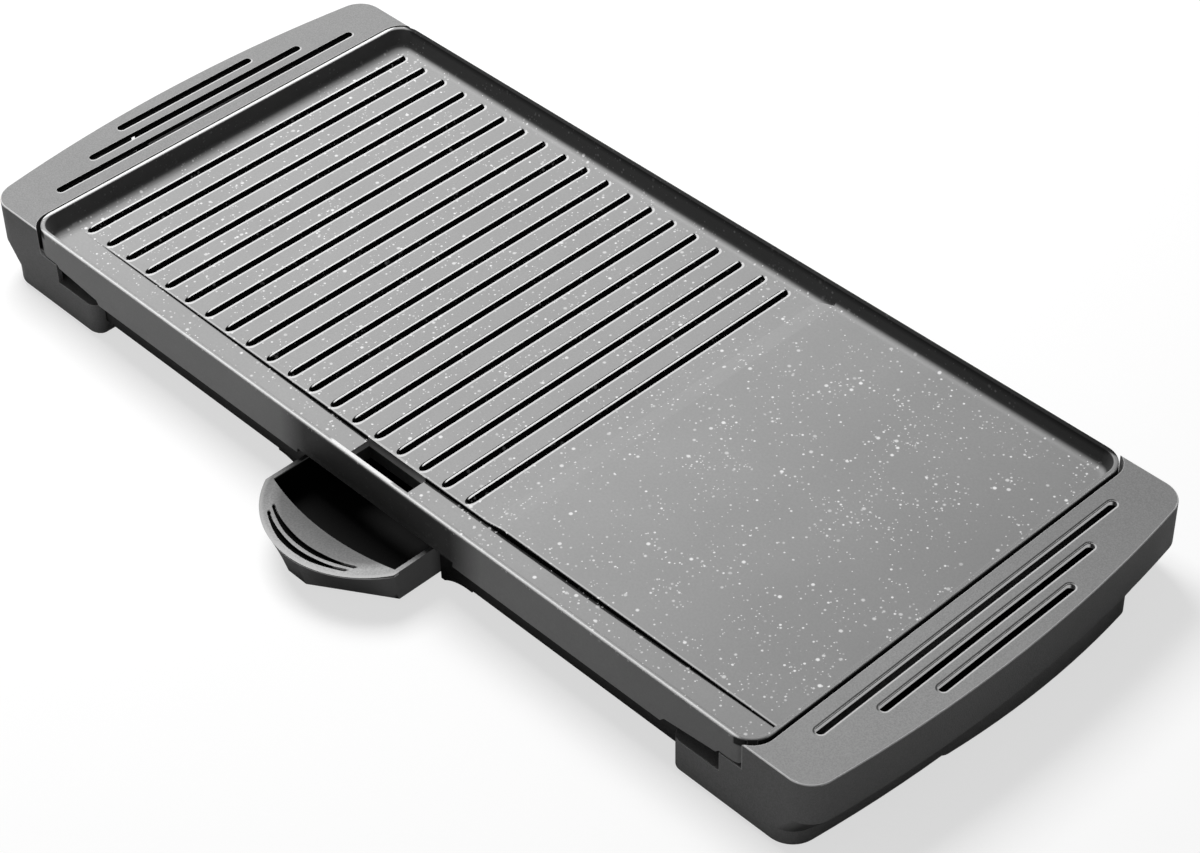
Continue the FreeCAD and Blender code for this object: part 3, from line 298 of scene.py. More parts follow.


# The plate's coating

# Greys of its details, from 0 for black to 1 for white; all but the specks' grey are painted light and shade
RIB_FOOT_HIGHLIGHT_TONE, STEP_HIGHLIGHT_TONE = 0.85, 0.70
STEP_LINE_TONE, DRAWER_SHADE_TONE = 0.0015, 0.02
END_GAP_SHADE_TONE, BACK_EDGE_SHADE_TONE = 0.006, 0.004
SPECK_TONE, RIM_HIGHLIGHT_TONE = 0.93, 0.92
# painted shade and painted light on the drain's walls
DRAIN_WALL_SHADE_AND_LIGHT_TONES = (0.14, 0.80)
LEFT_WALL_SHADE_GAIN = 2.6

# How much of them the details take on
RIB_FOOT_HIGHLIGHT_COVER, STEP_HIGHLIGHT_COVER, DRAWER_SHADE_COVER = 0.70, 0.45, 0.90
SPECK_COVER_ON_WALLS, SPECK_COVER_ON_SKIRT = 0.12, 0.04

# Widths of the painted highlight round a rib's foot, from inside the outline to outside it
RIB_FOOT_HIGHLIGHT_LINE = (-0.0005, 0.0009)

# Three sizes of speck: spacing, radius, and the share of cells that hold one
SPECK_LAYERS = (
    {"cell": 0.0030, "radius": 0.00072, "share": 0.66},
    {"cell": 0.0019, "radius": 0.00043, "share": 0.74},
    {"cell": 0.0052, "radius": 0.00115, "share": 0.44},
)


def speck_layer(tree, coords, cluster, cell, radius, share):
    """Round specks up to radius wide, one in some cells, more of them where cluster is high."""
    node = tree.nodes.new("ShaderNodeTexVoronoi")
    node.inputs["Scale"].default_value = 1.0 / cell
    node.inputs["Randomness"].default_value = 1.0
    tree.links.new(coords, node.inputs["Vector"])
    split = tree.nodes.new("ShaderNodeSeparateColor")
    tree.links.new(node.outputs["Color"], split.inputs[0])
    reach = radius / cell
    round_speck = spread(tree, node.outputs["Distance"], reach, reach * 0.55)
    chosen = calculate(tree, "LESS_THAN", split.outputs["Red"], both(tree, cluster, share))
    light = spread(tree, split.outputs["Green"], 0.0, 1.0, to_low=0.35)
    return both(tree, round_speck, chosen, light)


def speck_mask(tree, coords):
    cluster = spread(tree, noise(tree, coords, size=0.016), 0.40, 0.62, to_low=0.10)
    return either(tree, *[speck_layer(tree, coords, cluster, **layer) for layer in SPECK_LAYERS])


def coat_grey(tree, coords, x, tone):
    """The coating's clouded and grained grey, with painted shade making it darker towards the right end, and
    its grain.
    """
    cloud = noise(tree, coords, size=0.05, detail=3.0)
    grain = noise(tree, coords, size=0.0012, detail=3.0, roughness=0.6)
    colour = blend(tree, spread(tree, cloud, 0.3, 0.7), grey(tone), grey(tone * 1.08))
    colour = paint(tree, colour, tone * 0.8, spread(tree, grain, 0.3, 0.7, to_high=0.35))
    return paint(tree, colour, 0.0, spread(tree, x, *DARKER_END_X, to_high=0.21)), grain


def highlight_at_rib_feet(tree, x, y):
    """A narrow mask on the floor along the foot of each rib, where a highlight is painted."""
    pitch, first = RIB_SIZES["Pitch"], RIB_SIZES["First X"]
    front, back = RIB_SIZES["Front Y"], RIB_SIZES["Back Y"]
    start = first - 4.5 * pitch     # half a pitch before a rib's place, left of the plate
    turn = calculate(tree, "MODULO", calculate(tree, "SUBTRACT", x, start), pitch)
    across = calculate(tree, "SUBTRACT", turn, pitch / 2)
    along = calculate(tree, "SUBTRACT", y, (front + back) / 2)
    away = away_from_bar(tree, across, along, (back - front) / 2, RIB_SIZES["Base Width"] / 2)
    zone = within(tree, x, first - pitch / 2, first + (RIB_SIZES["Count"] - 0.5) * pitch, soft=0.0001)
    beside = within(tree, away, *RIB_FOOT_HIGHLIGHT_LINE, soft=0.0002)
    return both(tree, beside, spread(tree, across, 0.0, 0.0010), zone)


def drain_mask(tree, x, depth):
    return both(tree, within(tree, x, DRAIN_LEFT, DRAIN_RIGHT, soft=0.0004),
                within(tree, depth, STEP_DEPTH - DRAIN_WIDTH, STEP_DEPTH + 0.0004, soft=0.0004))


def step_masks(tree, x, depth, z, drain):
    """Masks of the channel's step: its painted shadow line, the painted highlight behind it, its fading left
    end.
    """
    past_end = spread(tree, x, *STEP_END_X)
    behind = both(tree, within(tree, depth, STEP_DEPTH + 0.0001, STEP_DEPTH + 0.0010, soft=0.0003),
                  spread(tree, z, STEP_FOOT_Z, STEP_FOOT_Z + 0.0003),
                  spread(tree, z, STEP_TOP_Z, STEP_TOP_Z - 0.0004), past_end)
    left_end = both(tree, within(tree, depth, STEP_DEPTH - 0.0015, STEP_DEPTH + 0.0012, soft=0.0003),
                    spread(tree, z, *STEP_WALL_Z), opposite(tree, past_end))
    width = both(tree, spread(tree, x, *LINE_WIDENS_X, *LINE_WIDTHS),
                 spread(tree, x, *LINE_NARROWS_X, to_low=1.0, to_high=0.05))
    from_front = calculate(tree, "ADD", calculate(tree, "SUBTRACT", depth, STEP_DEPTH), width)
    line = both(tree, spread(tree, from_front, -0.0003, 0.0),
                spread(tree, depth, STEP_DEPTH + 0.0005, STEP_DEPTH + 0.0002),
                spread(tree, z, *STEP_LINE_Z), spread(tree, drain, 1.0, 0.6), past_end)
    return line, behind, left_end


def rim_highlight(tree, coords, x, depth, z):
    """A painted highlight on the rim's top along its front, its ends and above the drain."""
    front = spread(tree, depth, -RIM_HALF_WIDTH + 0.0013, -RIM_HALF_WIDTH + 0.0006)
    right = spread(tree, x, RIM_HALF_LENGTH - 0.0010, RIM_HALF_LENGTH - 0.0004, to_high=0.45)
    left = spread(tree, x, -RIM_HALF_LENGTH + 0.0024, -RIM_HALF_LENGTH + 0.0018)
    by_drain = both(tree, within(tree, x, DRAIN_LEFT, DRAIN_RIGHT, soft=0.0020),
                    spread(tree, depth, -RIM_HALF_WIDTH + 0.0026, -RIM_HALF_WIDTH + 0.0022))
    top = spread(tree, z, RIM_TOP - 0.0012, RIM_TOP - 0.0004)
    patchy = spread(tree, noise(tree, coords, size=0.004), 0.2, 0.8, to_low=0.8)
    return both(tree, either(tree, front, right, left, by_drain), top, patchy)


def shade_in_end_gap(tree, x, z, side, in_basin):
    """Painted shade on the plate's outer ends, in the dark gap beside the housings."""
    aside = calculate(tree, "ABSOLUTE", side)
    corner = both(tree, spread(tree, z, RIM_TOP - 0.0050, RIM_TOP - 0.0042), spread(tree, aside, 0.03, 0.12))
    turned_away = either(tree, corner, spread(tree, aside, 0.55, 0.80))
    return both(tree, spread(tree, calculate(tree, "ABSOLUTE", x), *ROUNDED_CORNER_X),
                spread(tree, z, RIM_TOP - 0.0003, RIM_TOP - 0.0009), turned_away,
                spread(tree, in_basin, 0.5, 0.0))


def shade_above_drawer(tree, x, depth, z):
    """The stretch of the plate's skirt above the drawer, where shade is painted as the skirt's dark
    reflection of the drawer.
    """
    return both(tree, spread(tree, depth, -RIM_HALF_WIDTH + 0.0016, -RIM_HALF_WIDTH + 0.0008),
                spread(tree, x, *SHADE_LEFT_X), spread(tree, x, *SHADE_RIGHT_X),
                spread(tree, z, RIM_TOP - 0.0004, RIM_TOP - 0.0020))


def speckled_coating(name, floor_tone, wall_shade_tone, wall_cover, wall_start, wall_end):
    """Grey non-stick coating with clustered white specks, painted shade on the steep faces
    inside the basin, and a painted highlight along the rim's outer edge."""
    material, tree, surface, coords = start_material(name)
    x, y, z = split_axes(tree, coords)
    side, _, up = facing(tree)
    depth = calculate(tree, "SUBTRACT", y, PLATE_MIDDLE_Y)
    specks = speck_mask(tree, coords)
    in_basin = both(tree, around(tree, x, 0.0, BASIN_HALF_LENGTH, soft=0.0004),
                    around(tree, depth, 0.0, BASIN_HALF_WIDTH, soft=0.0004))
    drain = drain_mask(tree, x, depth)
    step_line, step_highlight, step_left_end = step_masks(tree, x, depth, z, drain)
    steep = both(tree, in_basin, spread(tree, up, wall_start, wall_end, smooth=True),
                 opposite(tree, step_left_end))
    # painted shade along the basin's back edge, below the rim
    at_back = spread(tree, depth, BASIN_HALF_WIDTH - 0.0008, BASIN_HALF_WIDTH + 0.0002, to_high=0.93)
    shaded_back_edge = both(tree, at_back, spread(tree, z, *BACK_WALL_Z))

    floor, grain = coat_grey(tree, coords, x, floor_tone)
    # painted highlight: a light line on the floor just behind the step
    floor = paint(tree, floor, STEP_HIGHLIGHT_TONE, step_highlight, STEP_HIGHLIGHT_COVER)
    # painted highlight: a light line on the floor at the foot of each rib
    floor = paint(tree, floor, RIB_FOOT_HIGHLIGHT_TONE, highlight_at_rib_feet(tree, x, y), RIB_FOOT_HIGHLIGHT_COVER)
    # painted shade and light in the drain: dark high on its walls, light lower down
    drain_wall_shade_and_light = blend(tree, spread(tree, z, *DRAIN_WALL_Z), *[grey(tone) for tone in DRAIN_WALL_SHADE_AND_LIGHT_TONES])
    # painted shade on the steep faces inside the basin, lighter on the left wall
    wall = blend(tree, spread(tree, x, *LEFT_WALL_X), grey(wall_shade_tone), grey(wall_shade_tone * LEFT_WALL_SHADE_GAIN))
    wall = blend(tree, drain, wall, drain_wall_shade_and_light)
    colour = blend(tree, both(tree, steep, wall_cover), floor, wall)
    # painted shadow: the step's dark line
    colour = paint(tree, colour, STEP_LINE_TONE, step_line)
    # painted shade on the skirt above the drawer
    colour = paint(tree, colour, DRAWER_SHADE_TONE, shade_above_drawer(tree, x, depth, z), DRAWER_SHADE_COVER)
    off_walls = spread(tree, steep, 0.0, 1.0, to_low=1.0, to_high=SPECK_COVER_ON_WALLS)
    off_skirt = spread(tree, z, RIM_TOP - 0.0030, RIM_TOP - 0.0010, to_low=SPECK_COVER_ON_SKIRT)
    colour = paint(tree, colour, SPECK_TONE, specks, off_walls, either(tree, off_skirt, in_basin))
    # painted highlight on the rim
    colour = paint(tree, colour, RIM_HIGHLIGHT_TONE, rim_highlight(tree, coords, x, depth, z))
    # painted shade in the gaps beside the housings
    colour = paint(tree, colour, END_GAP_SHADE_TONE, shade_in_end_gap(tree, x, z, side, in_basin))
    # painted shade on the back edge
    colour = paint(tree, colour, BACK_EDGE_SHADE_TONE, shaded_back_edge)
    tree.links.new(colour, surface.inputs["Base Color"])

    rough = spread(tree, noise(tree, coords, size=0.03), 0.3, 0.7, to_low=0.50, to_high=0.56)
    tree.links.new(rough, surface.inputs["Roughness"])
    shine = spread(tree, either(tree, steep, shaded_back_edge), 0.0, 1.0, to_low=0.30, to_high=0.02)
    tree.links.new(shine, surface.inputs["Specular IOR Level"])
    fine = bump(tree, surface, grain, 0.00006, strength=0.6)
    bump(tree, surface, specks, 0.00005, strength=0.8, below=fine)
    return material


# Moulded plastic of the housings, tray and drawer

# Greys of its details, and how much of them the details take on; all but the drawer's own tones and grain are
# painted light and shade
POCKET_SHADE_TONE, POCKET_SHADE_COVER = 0.004, 0.9
SLOT_RIGHT_HIGHLIGHT_TONE, SLOT_RIGHT_COVER = 0.75, 0.7
SLOT_LEFT_SHADE_TONE, SLOT_LEFT_COVER = 0.02, 0.95
SLOT_INSIDE_SHADE_TONE, SLOT_PAINTED_GLOW = 0.004, 0.30
SLOT_RIGHT_LINE, SLOT_LEFT_LINE = (-0.0005, 0.0006), (-0.0005, 0.0009)
TOP_EDGE_HIGHLIGHT_COVER = 0.9
LEAST_X = 0.001         # tells the right end from the left one
DRAWER_TONES, DRAWER_GRAIN_TONE, DRAWER_WALL_LIGHT_TONE = (0.016, 0.026), 0.05, 0.045
LIP_EDGE_HIGHLIGHT_TONE, LIP_EDGE_HIGHLIGHT_COVER = 0.50, 0.80
GROOVE_SHADE_TONE, BOWL_SHADE_TONE = 0.001, 0.012
DRAWER_PAINTED_GLOW = (0.006, 0.030)


def slot_masks(tree, x, y):
    """Masks of the housing slots: the sides to the right and left of each, and their inside."""
    along = calculate(tree, "SUBTRACT", y, PLATE_MIDDLE_Y)
    end = calculate(tree, "SIGN", x)
    reach = calculate(tree, "ABSOLUTE", x)
    right_sides, left_sides, insides = [], [], []
    for place, half_length in zip(SLOT_PLACES, SLOT_HALF_LENGTHS):
        across = both(tree, calculate(tree, "SUBTRACT", reach, place), end)
        away = away_from_bar(tree, across, along, half_length, SLOT_HALF_WIDTH)
        right_sides.append(both(tree, within(tree, away, *SLOT_RIGHT_LINE, soft=0.0002),
                                spread(tree, across, 0.0, 0.0014)))
        left_sides.append(both(tree, within(tree, away, *SLOT_LEFT_LINE, soft=0.0002),
                               spread(tree, across, 0.0, -0.0014)))
        insides.append(spread(tree, away, 0.0004, 0.0002))
    return [either(tree, *masks) for masks in (right_sides, left_sides, insides)]


def housing_details(tree, surface, colour, place, side, up, edge_wear_and_highlight_tone, lit_slot_wall_tone):
    """The housing's colour with a painted highlight along its top edge, painted shade in its pockets and
    inside the left housing's slots, and painted light and shade beside and in its slots, with a painted glow.
    """
    x, y, z = place
    # painted highlight along the top edge
    top_edge_highlight = both(tree, spread(tree, up, 0.15, 0.35), spread(tree, up, 0.99, 0.93),
                    spread(tree, z, RIM_TOP - 0.0030, RIM_TOP - 0.0024))
    colour = paint(tree, colour, edge_wear_and_highlight_tone, top_edge_highlight, TOP_EDGE_HIGHLIGHT_COVER)
    # painted shade: the pockets under the plate's corners painted nearly black
    pocket = both(tree, within(tree, calculate(tree, "ABSOLUTE", x), POCKET_START, POCKET_END, soft=0.0003),
                  within(tree, z, POCKET_LOW, POCKET_HIGH, soft=0.0003))
    colour = paint(tree, colour, POCKET_SHADE_TONE, pocket, POCKET_SHADE_COVER)
    right_sides, left_sides, inside = slot_masks(tree, x, y)
    on_top = spread(tree, up, 0.6, 0.8)
    at_right_end = spread(tree, x, -LEAST_X, LEAST_X)
    # painted highlight on the top beside each slot's right side, painted shade beside its left side on the
    # right housing
    colour = paint(tree, colour, SLOT_RIGHT_HIGHLIGHT_TONE, on_top, right_sides, SLOT_RIGHT_COVER)
    colour = paint(tree, colour, SLOT_LEFT_SHADE_TONE, on_top, left_sides, at_right_end, SLOT_LEFT_COVER)
    lower, upper = SLOT_LIGHT_Z
    # painted light on the right housing's slot walls that face right, with a painted glow
    lit_wall = both(tree, inside, at_right_end, spread(tree, side, 0.4, 0.7),
                    spread(tree, z, lower - 0.0002, lower + 0.0002),
                    spread(tree, z, upper + 0.0002, upper - 0.0002))
    colour = paint(tree, colour, lit_slot_wall_tone, lit_wall)
    # painted shade inside the left housing's slots
    colour = paint(tree, colour, SLOT_INSIDE_SHADE_TONE, inside, spread(tree, x, LEAST_X, -LEAST_X),
                   spread(tree, up, 0.8, 0.6))
    glow(tree, surface, both(tree, lit_wall, SLOT_PAINTED_GLOW))
    return colour


def moulded_plastic(name, dark, light, rough, grain_size, grain_depth, edge_wear_and_highlight_tone, grain_tint=0.12,
                    lit_slot_wall_tone=None):
    """Spark-textured moulded plastic with painted shade on its left end, its back right, its upright faces
    and its undersides, and lighter edges, partly wear and partly a painted highlight.
    """
    material, tree, surface, coords = start_material(name)
    x, y, z = split_axes(tree, coords)
    side, _, up = facing(tree)
    grain = noise(tree, coords, grain_size, roughness=0.6)
    colour = blend(tree, noise(tree, coords, size=0.05), grey(dark), grey(light))
    colour = paint(tree, colour, light * 1.9, spread(tree, grain, 0.35, 0.65, to_high=grain_tint))
    # painted shade: darker towards the left end and towards the back of the right end
    left_end = spread(tree, x, 0.2, -0.2, to_high=0.12)
    shade_at_back_right = both(tree, spread(tree, x, 0.0, 0.2), spread(tree, y, -0.02, 0.13, to_high=0.22))
    colour = paint(tree, paint(tree, colour, 0.0, left_end), 0.0, shade_at_back_right)
    # painted shade: upright faces darker than tops, undersides darker still
    colour = paint(tree, colour, dark * 0.3, spread(tree, up, 0.75, 0.25, to_high=0.40))
    colour = paint(tree, colour, dark * 0.12, spread(tree, up, -0.15, -0.45, to_high=0.85))
    if lit_slot_wall_tone is not None:
        colour = housing_details(tree, surface, colour, (x, y, z), side, up, edge_wear_and_highlight_tone, lit_slot_wall_tone)
    # edges lighter, partly as wear and partly as a painted highlight
    worn_and_lit_edges = edge_mask(tree, radius=0.0007, low=0.80, high=0.985)
    patchy = spread(tree, noise(tree, coords, size=0.003), 0.3, 0.7, to_low=0.5, to_high=0.9)
    colour = paint(tree, colour, edge_wear_and_highlight_tone, worn_and_lit_edges, patchy, spread(tree, up, -0.3, 0.3))
    tree.links.new(colour, surface.inputs["Base Color"])
    wear = spread(tree, noise(tree, coords, size=0.02, detail=3.0), 0.3, 0.7, rough - 0.05, rough + 0.06)
    tree.links.new(wear, surface.inputs["Roughness"])
    surface.inputs["Specular IOR Level"].default_value = 0.35
    bump(tree, surface, grain, grain_depth, strength=0.8)
    return material


def groove_mask(tree, across, y):
    """The grip grooves: arcs about the drawer's centre line, thinner towards their ends."""
    grooves = []
    for arc in GRIP_GROOVES:
        radius, half_span = arc["radius"], arc["half_span"]
        from_front = calculate(tree, "SUBTRACT", y, LIP_FRONT_Y + arc["inset"] + radius)
        off_line = calculate(tree, "SUBTRACT", distance(tree, across, from_front), radius)
        width = spread(tree, calculate(tree, "ABSOLUTE", across), half_span, half_span * 0.4, *GROOVE_WIDTHS)
        outside = calculate(tree, "SUBTRACT", calculate(tree, "ABSOLUTE", off_line), width)
        grooves.append(both(tree, spread(tree, outside, 0.0001, 0.0),
                            within(tree, across, -half_span, half_span, soft=0.0010)))
    return either(tree, *grooves)


def drawer_finish():
    """Black moulded plastic with a painted sheen on its paler lip and a painted highlight on its edge,
    painted shade in the grip grooves and inside, painted light and a painted glow on its upright walls, and a
    matt inside.
    """
    material, tree, surface, coords = start_material("black_drawer_plastic")
    x, y, z = split_axes(tree, coords)
    side, _, up = facing(tree)
    across = calculate(tree, "SUBTRACT", x, DRAWER_X)
    from_lip_centre = distance(tree, across, calculate(tree, "SUBTRACT", y, LIP_CENTRE_Y))
    from_bowl_centre = distance(tree, across, calculate(tree, "SUBTRACT", y, BOWL_CENTRE_Y))

    grain = noise(tree, coords, size=0.0009, roughness=0.6)
    colour = blend(tree, noise(tree, coords, size=0.03), *[grey(tone) for tone in DRAWER_TONES])
    colour = paint(tree, colour, DRAWER_GRAIN_TONE, spread(tree, grain, 0.35, 0.65, to_high=0.2))
    # painted light: upright walls lighter than the tops
    upright = both(tree, spread(tree, calculate(tree, "ABSOLUTE", up), 0.6, 0.3), 0.8)
    colour = paint(tree, colour, DRAWER_WALL_LIGHT_TONE, upright)

    lip_top = both(tree, spread(tree, z, DRAWER_TOP - 0.0018, DRAWER_TOP - 0.0015),
                   spread(tree, from_lip_centre, LIP_RADIUS - 0.0002, LIP_RADIUS - 0.0004),
                   spread(tree, from_bowl_centre, BOWL_RADIUS + 0.0003, BOWL_RADIUS + 0.0006))
    ledge = both(tree, spread(tree, z, DRAWER_TOP - 0.0005, DRAWER_TOP - 0.0003), spread(tree, up, 0.3, 0.6))
    on_lip = either(tree, lip_top, ledge)
    # painted sheen on the lip's top: paler in its outer part and towards the front, with painted shade
    # towards the left
    left_shade = spread(tree, across, -0.042, -0.004, to_low=0.40)
    inner_part = spread(tree, from_lip_centre, LIP_RADIUS - 0.019, LIP_RADIUS - 0.011, 0.09, 0.14)
    outer_part = spread(tree, from_lip_centre, LIP_RADIUS - 0.010, LIP_RADIUS - 0.005, 0.0, 0.27)
    lip_sheen = both(tree, calculate(tree, "ADD", inner_part, outer_part),
                    spread(tree, y, -0.098, -0.132, to_low=0.60, to_high=1.05), left_shade,
                    spread(tree, grain, 0.3, 0.7, to_low=0.8, to_high=1.2))
    colour = blend(tree, on_lip, colour, blend(tree, lip_sheen, grey(0.0), grey(1.0)))
    # painted highlight on the lip's outer edge
    lip_edge_highlight = spread(tree, from_lip_centre, LIP_RADIUS - 0.0022, LIP_RADIUS - 0.0010)
    colour = paint(tree, colour, LIP_EDGE_HIGHLIGHT_TONE, on_lip, lip_edge_highlight, left_shade, LIP_EDGE_HIGHLIGHT_COVER)

    # painted shade in the grip grooves
    groove = both(tree, groove_mask(tree, across, y),
                  spread(tree, z, DRAWER_TOP - 0.0014, DRAWER_TOP - 0.0012))
    colour = paint(tree, colour, GROOVE_SHADE_TONE, groove)
    # painted shade inside the drawer's bowl
    aside = calculate(tree, "ABSOLUTE", across)
    bowl = both(tree, spread(tree, z, DRAWER_TOP - 0.0003, DRAWER_TOP - 0.0008),
                spread(tree, aside, DRAWER_INSIDE_X + 0.0008, DRAWER_INSIDE_X + 0.0002),
                spread(tree, from_bowl_centre, BOWL_RADIUS + 0.0010, BOWL_RADIUS + 0.0002))
    colour = paint(tree, colour, BOWL_SHADE_TONE, bowl)
    tree.links.new(colour, surface.inputs["Base Color"])

    matt = either(tree, groove, bowl)
    # painted glow on the drawer's upright walls that face right, towards the front
    glow(tree, surface, both(tree, upright, opposite(tree, matt), spread(tree, y, -0.085, -0.095),
                             spread(tree, side, 0.0, 0.6, *DRAWER_PAINTED_GLOW)))
    shine = spread(tree, matt, 0.0, 1.0, to_low=0.30, to_high=0.04)
    tree.links.new(shine, surface.inputs["Specular IOR Level"])
    rough = spread(tree, matt, 0.0, 1.0, to_low=0.52, to_high=0.85)
    tree.links.new(rough, surface.inputs["Roughness"])
    bump(tree, surface, grain, 0.00006, strength=0.8)
    return material


# Metal, rubber and ceramic

DRAWN_LINES = (1.0, 30.0, 30.0)     # stretches the noise along X


def brushed_metal(name, tone, rough, tint=0.0):
    """Bare metal with fine drawn lines and faint stains."""
    material, tree, surface, coords = start_material(name)
    stretch = tree.nodes.new("ShaderNodeMapping")
    stretch.inputs["Scale"].default_value = DRAWN_LINES
    tree.links.new(coords, stretch.inputs["Vector"])
    lines = noise(tree, stretch.outputs["Vector"], size=0.006, detail=3.0, roughness=0.7)
    stain = noise(tree, coords, size=0.018, detail=3.0)
    colour = blend(tree, spread(tree, stain, 0.35, 0.7), grey(tone, tint), grey(tone * 0.72, tint * 1.6))
    tree.links.new(colour, surface.inputs["Base Color"])
    surface.inputs["Metallic"].default_value = 1.0
    tree.links.new(spread(tree, lines, 0.2, 0.8, rough - 0.08, rough + 0.12), surface.inputs["Roughness"])
    bump(tree, surface, lines, 0.00002, strength=0.5)
    return material


def soft_rubber(name, tone, rough):
    """Matt rubber with dust in its pores."""
    material, tree, surface, coords = start_material(name)
    pores = noise(tree, coords, size=0.0006, roughness=0.6)
    dust = noise(tree, coords, size=0.006, detail=3.0)
    colour = blend(tree, spread(tree, dust, 0.45, 0.75, to_high=0.5), grey(tone), grey(tone * 2.4))
    tree.links.new(colour, surface.inputs["Base Color"])
    tree.links.new(spread(tree, pores, 0.2, 0.8, rough - 0.1, rough + 0.08), surface.inputs["Roughness"])
    bump(tree, surface, pores, 0.00005, strength=0.7)
    return material


def fired_ceramic():
    """Off-white ceramic with a thin glaze and grey handling marks."""
    material, tree, surface, coords = start_material("fired_ceramic")
    marks = noise(tree, coords, size=0.004, detail=3.0)
    off_white, handled = (0.78, 0.74, 0.66), (0.42, 0.38, 0.33)
    colour = blend(tree, spread(tree, marks, 0.5, 0.75, to_high=0.5), off_white, handled)
    tree.links.new(colour, surface.inputs["Base Color"])
    glaze = spread(tree, marks, 0.3, 0.7, to_low=0.22, to_high=0.4)
    tree.links.new(glaze, surface.inputs["Roughness"])
    bump(tree, surface, noise(tree, coords, size=0.0008), 0.00004, strength=0.6)
    return material


# The plate: steep faces inside the basin painted dark as painted shade
coating = speckled_coating("speckled_coating", floor_tone=0.345, wall_shade_tone=0.035, wall_cover=0.90,
                           wall_start=0.86, wall_end=0.46)
# The ribs: crests painted light as a painted highlight, flanks painted black as painted shade
rib_coating = speckled_coating("rib_coating", floor_tone=0.78, wall_shade_tone=0.001, wall_cover=1.0,
                               wall_start=0.985, wall_end=0.92)
housing_plastic = moulded_plastic("grey_housing_plastic", dark=0.255, light=0.275, rough=0.62,
                                  grain_size=0.0007, grain_depth=0.00014, edge_wear_and_highlight_tone=0.80,
                                  grain_tint=0.26, lit_slot_wall_tone=0.85)
tray_plastic = moulded_plastic("black_tray_plastic", dark=0.012, light=0.017, rough=0.42,
                               grain_size=0.0008, grain_depth=0.00008, edge_wear_and_highlight_tone=0.05)
chute_enamel = moulded_plastic("grey_enamel", dark=0.13, light=0.16, rough=0.70,
                               grain_size=0.0010, grain_depth=0.00008, edge_wear_and_highlight_tone=0.20)
foot_rubber = soft_rubber("foot_rubber", tone=0.018, rough=0.78)
plated_steel = brushed_metal("plated_steel", tone=0.66, rough=0.28, tint=0.02)


# Pieces carried over from the construction: their shape is right, so they keep it

finish_of_slot = {
    "nonstick_plate": coating,
    "grey_plastic": housing_plastic,
    "black_plastic": tray_plastic,
    "drawer_plastic": drawer_finish(),
    "element_sheath": brushed_metal("heater_sheath_steel", tone=0.20, rough=0.45, tint=0.03),
    "reflector_steel": brushed_metal("aluminised_sheet", tone=0.62, rough=0.34),
    "plated_steel": plated_steel,
    "contact_brass": brushed_metal("nickel_brass", tone=0.60, rough=0.25, tint=0.14),
    "ceramic": fired_ceramic(),
    "foot_rubber": foot_rubber,
    "pad_silicone": soft_rubber("pad_silicone", tone=0.16, rough=0.62),
}
for part in frame["record"]["subparts"]:
    for place in nodes[part["node"]].material_slots:
        place.material = finish_of_slot[part["material_slot"]]
for place in nodes["drain_chute"].material_slots:
    place.material = chute_enamel


# The plate without its ribs

def on_a_rib(centre):
    """Whether a face's centre lies on one of the construction's ribs, above the floor."""
    sizes = RIB_SIZES
    if not sizes["Floor Z"] + FLOOR_SLACK < centre.z < sizes["Floor Z"] + sizes["Height"] + SLACK:
        return False
    if not sizes["Front Y"] - TIP_SLACK < centre.y < sizes["Back Y"] + SLACK:
        return False
    place = (centre.x - sizes["First X"]) / sizes["Pitch"]
    near = round(place)
    aside = abs(place - near) * sizes["Pitch"]
    return 0 <= near < sizes["Count"] and aside < sizes["Base Width"] / 2 + SLACK


def closing_faces(removed):
    """One face for each outline left open by the removed faces, facing as they did."""
    sides = dict.fromkeys(pair for corners in removed for pair in zip(corners, corners[1:] + corners[:1]))
    onward = {a: b for a, b in sides if (b, a) not in sides}
    faces = []
    while onward:
        start, step = onward.popitem()
        loop = [start]
        while step != start:
            loop.append(step)
            step = onward.pop(step)
        faces.append(loop)
    return faces


def welded(source):
    """A mesh's distinct points, and for each of its vertices the number of its point."""
    points, number, found = [], [], {}
    for vertex in source.vertices:
        key = tuple(round(value * WELD_STEPS) for value in vertex.co)
        if key not in found:
            found[key] = len(points)
            points.append(vertex.co.copy())
        number.append(found[key])
    return points, number


def plate_without_ribs():
    """The construction's plate, ribs taken off and the floor closed where they stood."""
    source = nodes["grill_plate"].data
    points, number = welded(source)
    kept, removed, normals = [], [], []
    for face in source.polygons:
        corners = [number[k] for k in face.vertices]
        if len(set(corners)) < len(corners):
            continue
        if on_a_rib(face.center):
            removed.append(corners)
            continue
        kept.append(corners)
        normals += [source.corner_normals[k].vector.copy() for k in face.loop_indices]
    for loop in closing_faces(removed):
        kept.append(loop)
        normals += [Vector((0, 0, 1))] * len(loop)
    used = sorted({k for corners in kept for k in corners})
    place = {old: new for new, old in enumerate(used)}
    mesh = bpy.data.meshes.new("cast_plate")
    mesh.from_pydata([points[k] for k in used], [], [[place[k] for k in corners] for corners in kept])
    mesh.polygons.foreach_set("use_smooth", [True] * len(mesh.polygons))
    mesh.normals_split_custom_set(normals)
    mesh.materials.append(coating)
    plate = bpy.data.objects.new("cast_plate", mesh)
    scene.collection.objects.link(plate)
    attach(plate, "plate")
    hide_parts("grill_plate")


# Pieces that follow a rule

